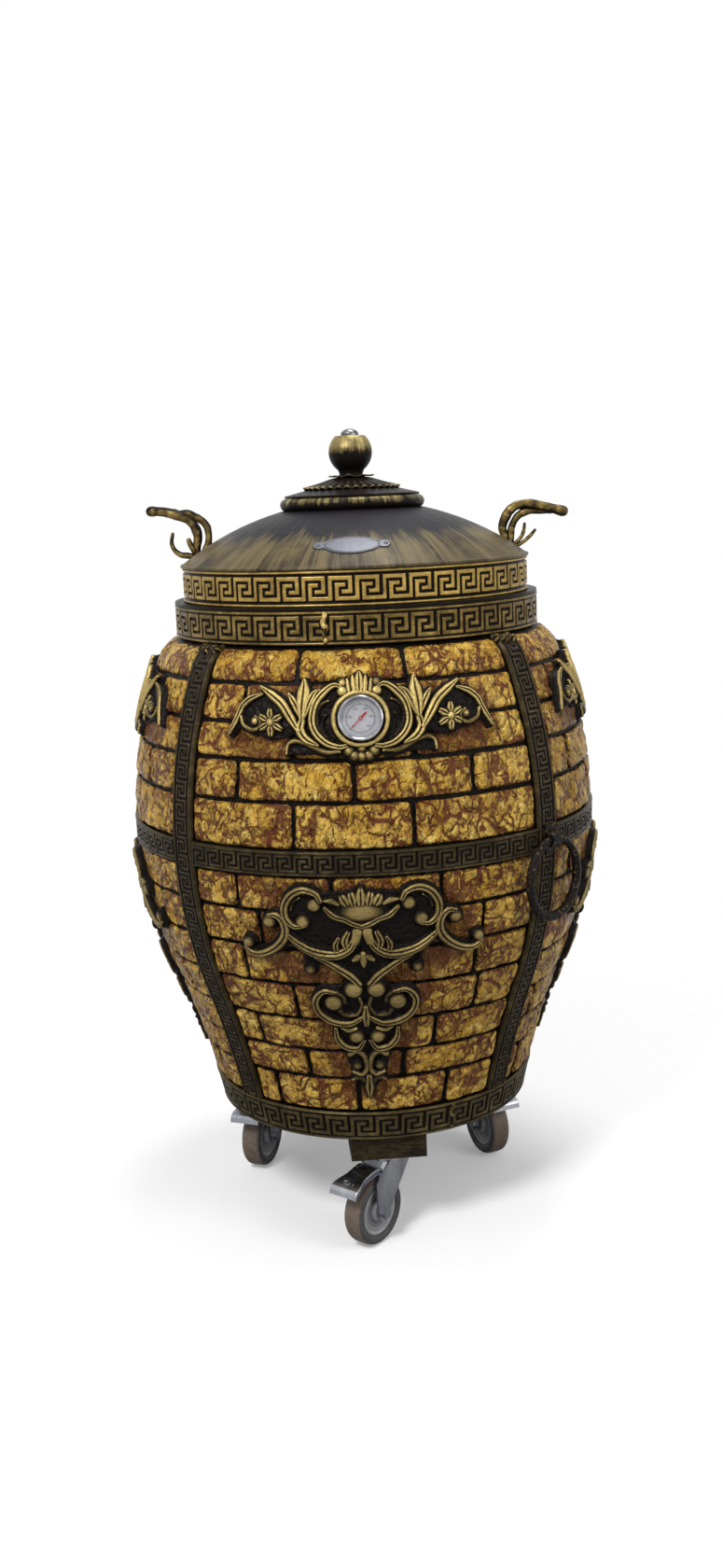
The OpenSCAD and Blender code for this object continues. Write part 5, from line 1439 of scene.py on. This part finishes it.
# %% Letters and ticks
def lettering(words, size, spot, axes, body, extrude=0.0):
    """Words as a thin mesh at a spot; the axes point along, up and out of them."""
    text = bpy.data.curves.new("letters", "FONT")
    text.body, text.size, text.extrude = words, size, extrude
    text.align_x = text.align_y = "CENTER"
    drawn = bpy.data.objects.new("letters", text)
    mesh = bpy.data.meshes.new_from_object(drawn)
    bpy.data.objects.remove(drawn)
    mesh.transform(Matrix.Translation(spot)
                   @ Matrix([tuple(a) for a in axes]).transposed().to_4x4())
    piece = bpy.data.objects.new("letters", mesh)
    bpy.context.scene.collection.objects.link(piece)
    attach(piece, body)
    return piece


def tick(angle, r0, r1, width):
    a = math.radians(angle)
    along, across = np.array([math.cos(a), math.sin(a)]), np.array([-math.sin(a), math.cos(a)])
    grid = np.array([[along * r + across * w for w in (-width / 2, width / 2)] for r in (r0, r1)])
    return sheet("tick", on_dial(grid[..., 0], grid[..., 1], print_out), "oven")


# %% Dial print
zero_at, sweep, divisions = 225, 270, 50
printed = []
for k in range(divisions + 1):
    start, width = (18.6, 0.25) if k % 5 else (17.2, 0.5)
    printed.append(tick(zero_at - sweep * k / divisions, start, 20.4, width))
a, r = np.meshgrid(np.linspace(0, 2 * math.pi, 90, endpoint=False), [17.9, 18.5])
printed.append(sheet("dial_ring", on_dial(r * np.cos(a), r * np.sin(a), ring_out), "oven",
                     loop=True))
for k in range(0, 11, 2):
    angle = math.radians(zero_at - sweep / 10 * k)
    spot = on_dial(np.array(14.0 * math.cos(angle)), np.array(14.0 * math.sin(angle)), print_out)
    printed.append(lettering(str(50 * k), 0.0042, spot, ((1, 0, 0), gauge_up, gauge_out), "oven"))
dial_print = join("dial_print", printed)
print("dial print", len(dial_print.data.vertices), "points")

# %% [markdown]
# The dial, the ink and the pointer are paint: two close tones and a fine grain. The glass
# is one clear sheet that hardly bends light, because it is thin and flat.


# %% Gauge finishes
def plain(name, tint, shade, rough, scale=200, coat=0.0, bumpy=0.0002):
    """Paint, rubber or clay: two close tones, uneven shine and a fine grain."""
    m, tree, shader = finish(name, rough, coat=coat)
    cloud = noise(tree, place(tree), scale, 5, 0.65)
    paint_with(tree, shader, blend(tree, span(tree, cloud, 0.35, 0.68), shade, tint),
               span(tree, cloud, 0.3, 0.7, rough * 0.85, min(rough * 1.2, 1)))
    bump(tree, shader, noise(tree, place(tree), scale * 5, 3), bumpy, 0.4)
    return m


cover(dial_print, plain("dial_ink", (0.06, 0.06, 0.07, 1), (0.03, 0.03, 0.035, 1), 0.5))
cover(cad["gauge_dial"],
      plain("dial_white", (0.56, 0.57, 0.60, 1), (0.47, 0.48, 0.51, 1), 0.5, 60))
cover(cad["gauge_pointer"],
      plain("red_paint", (0.62, 0.02, 0.015, 1), (0.42, 0.012, 0.01, 1), 0.35, 300, 0.3))
glass, tree, shader = finish("gauge_glass", 0.03, Transmission_Weight=1.0, IOR=1.1)
smear = noise(tree, place(tree), 80, 3)
tree.links.new(span(tree, smear, 0.4, 0.8, 0.01, 0.08), shader.inputs["Roughness"])
cover(cad["gauge_glass"], glass)
print("glass bends light by", shader.inputs["IOR"].default_value)

# %% [markdown]
# ## Casters
# Each caster stands under its pad and is turned its own way. The wheel is spun from a
# profile: a brown tread, dark sides, and a grey hub with rings pressed into it. The hub is
# darker where it lies low between its rim and boss, which is painted shade. The tread
# and the rings are marked by radius or height while the profile turns.

# %% Wheel profiles
casters = {"front": (4.5, -39), "right": (121, 24), "left": (-117, -20)}
stem_r, trail_length, wheel_r = 192, 38, 50
tyre_side = [(36, 11.5), (37.5, 13.8), (41, 15.6), (44, 15.8), (46.8, 14.6), (48.8, 12.4),
             (49.8, 9.6), (50, 7.5)]
tyre_profile = tyre_side + [(r, -h) for r, h in reversed(tyre_side)]
hub_side = [(36, 11.8), (34.6, 13), (32.6, 12.6), (31, 10.6), (28.5, 10), (27.5, 10.7),
            (26, 10.1), (23, 9.2), (22, 9.9), (20.5, 9.2), (17.5, 8.6), (16, 9.2), (15, 12),
            (13.8, 15.2), (9, 16.4), (6, 16.6)]
print("wheel", 2 * wheel_r, "mm, tread", 2 * tyre_side[-1][1], "mm wide")

# %% Wheel finishes
rubber, tree, shader = finish("tyre", 0.6)
cloud = noise(tree, place(tree), 160, 5, 0.65)
share = span(tree, cloud, 0.35, 0.7)
worn = blend(tree, share, (0.125, 0.092, 0.070, 1), (0.20, 0.148, 0.112, 1))
sides = blend(tree, share, (0.045, 0.044, 0.046, 1), (0.085, 0.083, 0.085, 1))
paint_with(tree, shader, blend(tree, span(tree, mark(tree, "raised"), 0.4, 0.6), sides, worn),
           span(tree, cloud, 0.3, 0.7, 0.45, 0.75))
bump(tree, shader, cloud, 0.0005, 0.4)
hub_paint, tree, shader = finish("hub_grey", 0.42)
cloud = noise(tree, place(tree), 90, 4)
# Grey hub, darker where it lies low between rim and boss: painted shade
hub_shade_painted = blend(tree, mark(tree, "raised"), (0.16, 0.16, 0.17, 1), (0.40, 0.40, 0.41, 1))
paint_with(tree, shader,
           blend(tree, times(tree, span(tree, cloud, 0.45, 0.8), 0.5), hub_shade_painted,
                 (0.22, 0.20, 0.18, 1)), span(tree, cloud, 0.3, 0.7, 0.34, 0.55))
bump(tree, shader, cloud, 0.0003, 0.4)
print("wheel finishes", rubber.name, hub_paint.name)


# %% Wheel
def wheel(name, stem, trail, axle):
    hub_at = stem + trail_length * trail + (0, 0, wheel_r)
    tyre = turned("tyre_" + name, tyre_profile, "wheel_" + name, hub_at, axle, 160, 0.8,
                  rule=lambda a, r, h: smooth(r, 47.8, 48.8))
    cover(tyre, rubber)
    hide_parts("caster_tyre_" + name)
    halves = [turned("hub", [(r, h * s) for r, h in hub_side], "wheel_" + name, hub_at, axle, 120,
                     0.6, rule=lambda a, r, h: smooth(np.abs(h), 9.0, 11.5)) for s in (1, -1)]
    hub = join("hub_" + name, halves)
    cover(hub, hub_paint)
    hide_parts("caster_hub_" + name)


# %% [markdown]
# The brake pedal is one pressed plate: three ribs, a lip that widens towards the toe,
# turned-down sides and a raised word. A grid of points bent along a side view gives all of
# it at once, once for the top face and once for the under face.

# %% Pedal
pedal_at, pedal_z, pedal_thick, rib_spots = 40, 107, 2.2, np.array([[14, 20, 26]])
pedal_side = np.array([(-6, 6), (-3, 9), (6, 10.6), (20, 8.6), (34, 6), (46, 3.6), (54, 1),
                       (60, -2), (63, -6), (64, -11)], float)


def pedal_layer(name, stem, trail, axle, drop):
    t = np.linspace(0, 1, 40)
    run, rise = (np.interp(t, np.linspace(0, 1, len(pedal_side)), pedal_side[:, k])
                 for k in (0, 1))
    across = np.linspace(-1.12, 1.12, 49)
    half = 17 + 6.5 * smooth(run, 30, 60)
    u = np.clip(across, -1, 1)[None, :] * half[:, None]
    fall = -70 * np.clip(np.abs(across) - 1, 0, 1)[None, :] * (1 - 0.6 * t[:, None])
    rib = 1.5 * np.exp(-((run[:, None] - rib_spots) / 1.3) ** 2).sum(1)
    lift = rib[:, None] * (1 - smooth(np.abs(across), 0.6, 0.75))[None, :] + drop + fall
    points = (stem + (pedal_at + run[:, None, None]) * trail + axle * u[..., None]
              + np.array([0, 0, 1.0]) * (pedal_z + rise[:, None] + lift)[..., None])
    return sheet("pedal_layer", points * MM, "pedal_" + name)


def pedal(name, stem, trail, axle):
    layers = [pedal_layer(name, stem, trail, axle, drop) for drop in (0, -pedal_thick)]
    slope = math.atan2(1 - 3.6, 54 - 46)
    down = trail * math.cos(slope) + np.array([0, 0, math.sin(slope)])
    spot = (stem + 90.5 * trail + (0, 0, pedal_z + 2.8)) * MM
    word = lettering("ON", 0.0115, spot, (axle, -down, np.cross(axle, -down)), "pedal_" + name,
                     extrude=0.0006)
    plate = join("pedal_plate_" + name, layers + [word])
    cover(plate, zinc)
    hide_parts("caster_pedal_" + name)
    print(plate.name, len(plate.data.vertices), "points")


# %% Set the casters
for name, (az, heading) in casters.items():
    a, b = math.radians(az), math.radians(heading)
    stem = np.array([stem_r * math.sin(a), -stem_r * math.cos(a), 0])
    trail, axle = np.array([math.sin(b), -math.cos(b), 0]), np.array([math.cos(b), math.sin(b), 0])
    wheel(name, stem, trail, axle)
    pedal(name, stem, trail, axle)
    for part in ("fork", "axle"):
        cover(cad[f"caster_{part}_{name}"], zinc)
print("casters", len(casters))

# %% [markdown]
# ## What is left of the frame
# The remaining CAD pieces keep their own shape and only need finishes: fired clay inside,
# black enamel on the sheet metal, and loose grain for the filling. One table says which
# finish goes on which pieces.

# %% Finishes for the plain pieces
rim_paint = gilded("rim_bronze", None, 0.40, gold=(0.06, 0.045, 0.018, 1),
                   bright=(0.22, 0.165, 0.07, 1), metal=0.3)
fired = plain("fired_clay", (0.36, 0.17, 0.085, 1), (0.20, 0.085, 0.045, 1), 0.85, 40,
              bumpy=0.0015)
filling = plain("insulation", (0.62, 0.60, 0.52, 1), (0.45, 0.43, 0.37, 1), 0.95, 300,
                bumpy=0.003)
enamel = plain("black_steel", (0.022, 0.020, 0.019, 1), (0.012, 0.011, 0.011, 1), 0.4, 50,
               bumpy=0.0008)
lining = plain("liner_clay", (0.55, 0.50, 0.40, 1), (0.38, 0.33, 0.26, 1), 0.9, 60,
               bumpy=0.0015)
finishes = {fired: ["clay_pot", "hearth_bricks", "hearth_floor"], filling: ["insulation_fill"],
            enamel: ["base_plate", "air_duct", "door_frame", "ash_door", "vent_sleeve"],
            rim_paint: ["rim_plate"], lining: ["lid_liner"], raw_iron: ["fire_grate"],
            nut_steel: ["cap_nut"], hammered: ["ring_brackets"], pad_paint: ["caster_pads"],
            zinc: ["pad_bolts", "door_hinge_pin", "gauge_socket", "gauge_probe", "cap_stud"],
            chrome: ["door_knob", "gauge_case", "gauge_bezel"]}
for material, nodes in finishes.items():
    for node in nodes:
        cover(cad[node], material)
print("finishes on", sum(len(n) for n in finishes.values()), "frame pieces")

# %% [markdown]
# ## The stage
# The photograph has a white background. The floor is a pale sheet that keeps the oven's
# shadow and fades out around it, so no horizon shows. It is paler for the camera than for
# the light that bounces off it, which keeps the underside of the oven dark.

# %% Floor
floor_half, fade_from, fade_to = 6, 0.55, 1.15
floor_mesh = bpy.data.meshes.new("floor")
floor_mesh.from_pydata([(x * floor_half, y * floor_half, 0)
                        for x, y in ((-1, -1), (1, -1), (1, 1), (-1, 1))], [], [(0, 1, 2, 3)])
floor = bpy.data.objects.new("floor", floor_mesh)
bpy.context.scene.collection.objects.link(floor)
floor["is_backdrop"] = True
floor_paint, tree, shader = finish("pale_floor", 0.9, Emission_Strength=1.0)
far = add(tree, "VectorMath", links={0: add(tree, "TexCoord").outputs["Object"]},
          operation="LENGTH").outputs["Value"]
tree.links.new(span(tree, far, fade_from, fade_to, 1.0, 0.0), shader.inputs["Alpha"])
seen = add(tree, "LightPath").outputs["Is Camera Ray"]
for socket, bounced, shown in (("Base Color", 0.45, 0.95), ("Emission Color", 0.0, 0.22)):
    tree.links.new(blend(tree, seen, (bounced, bounced, bounced, 1), (shown, shown, shown, 1)),
                   shader.inputs[socket])
floor.data.materials.append(floor_paint)
print("floor fades out at", fade_to, "m")

# %% [markdown]
# The world is a soft grey light, but the camera, reflections and glass see it white. Three
# soft lamps stand for a studio: the key from the left, a weak fill, and one from above.

# %% World and lamps
world = bpy.data.worlds.new("studio")
bpy.context.scene.world = world
world.use_nodes = True
tree = world.node_tree
path = add(tree, "LightPath")
seen = larger(tree, path.outputs["Is Camera Ray"],
              larger(tree, path.outputs["Is Glossy Ray"], path.outputs["Is Transmission Ray"]))
tree.links.new(blend(tree, seen, (0.34, 0.34, 0.35, 1), (1, 1, 1, 1)),
               tree.nodes["Background"].inputs["Color"])


def lamp(name, place_at, aim, size, power):
    light = bpy.data.lights.new(name, "AREA")
    light.shape, light.size, light.energy = "DISK", size, power
    o = bpy.data.objects.new(name, light)
    bpy.context.scene.collection.objects.link(o)
    o.location = place_at
    o.rotation_euler = (Vector(aim) - Vector(place_at)).to_track_quat("-Z", "Y").to_euler()
    print(name, power, "W")


lamp("key_light", (-1.3, -2.3, 3.0), (0, 0, 0.7), 1.1, 85)
lamp("fill_light", (2.4, -1.8, 1.9), (0, 0, 0.7), 1.6, 26)
lamp("top_light", (0.3, 0.4, 3.2), (0, 0, 0.9), 1.2, 40)
bpy.context.scene.view_settings.view_transform = "Standard"

# %% [markdown]
# ## The sizes
# The CAD box and the visual box are gathered at the end. The visual model may only be a
# little larger than the CAD box.

# %% The two boxes
low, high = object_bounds()
print("visual box", [round(v, 4) for v in high - low])
{"cad": [list(cad_low), list(cad_high)], "visual": [list(low), list(high)]}
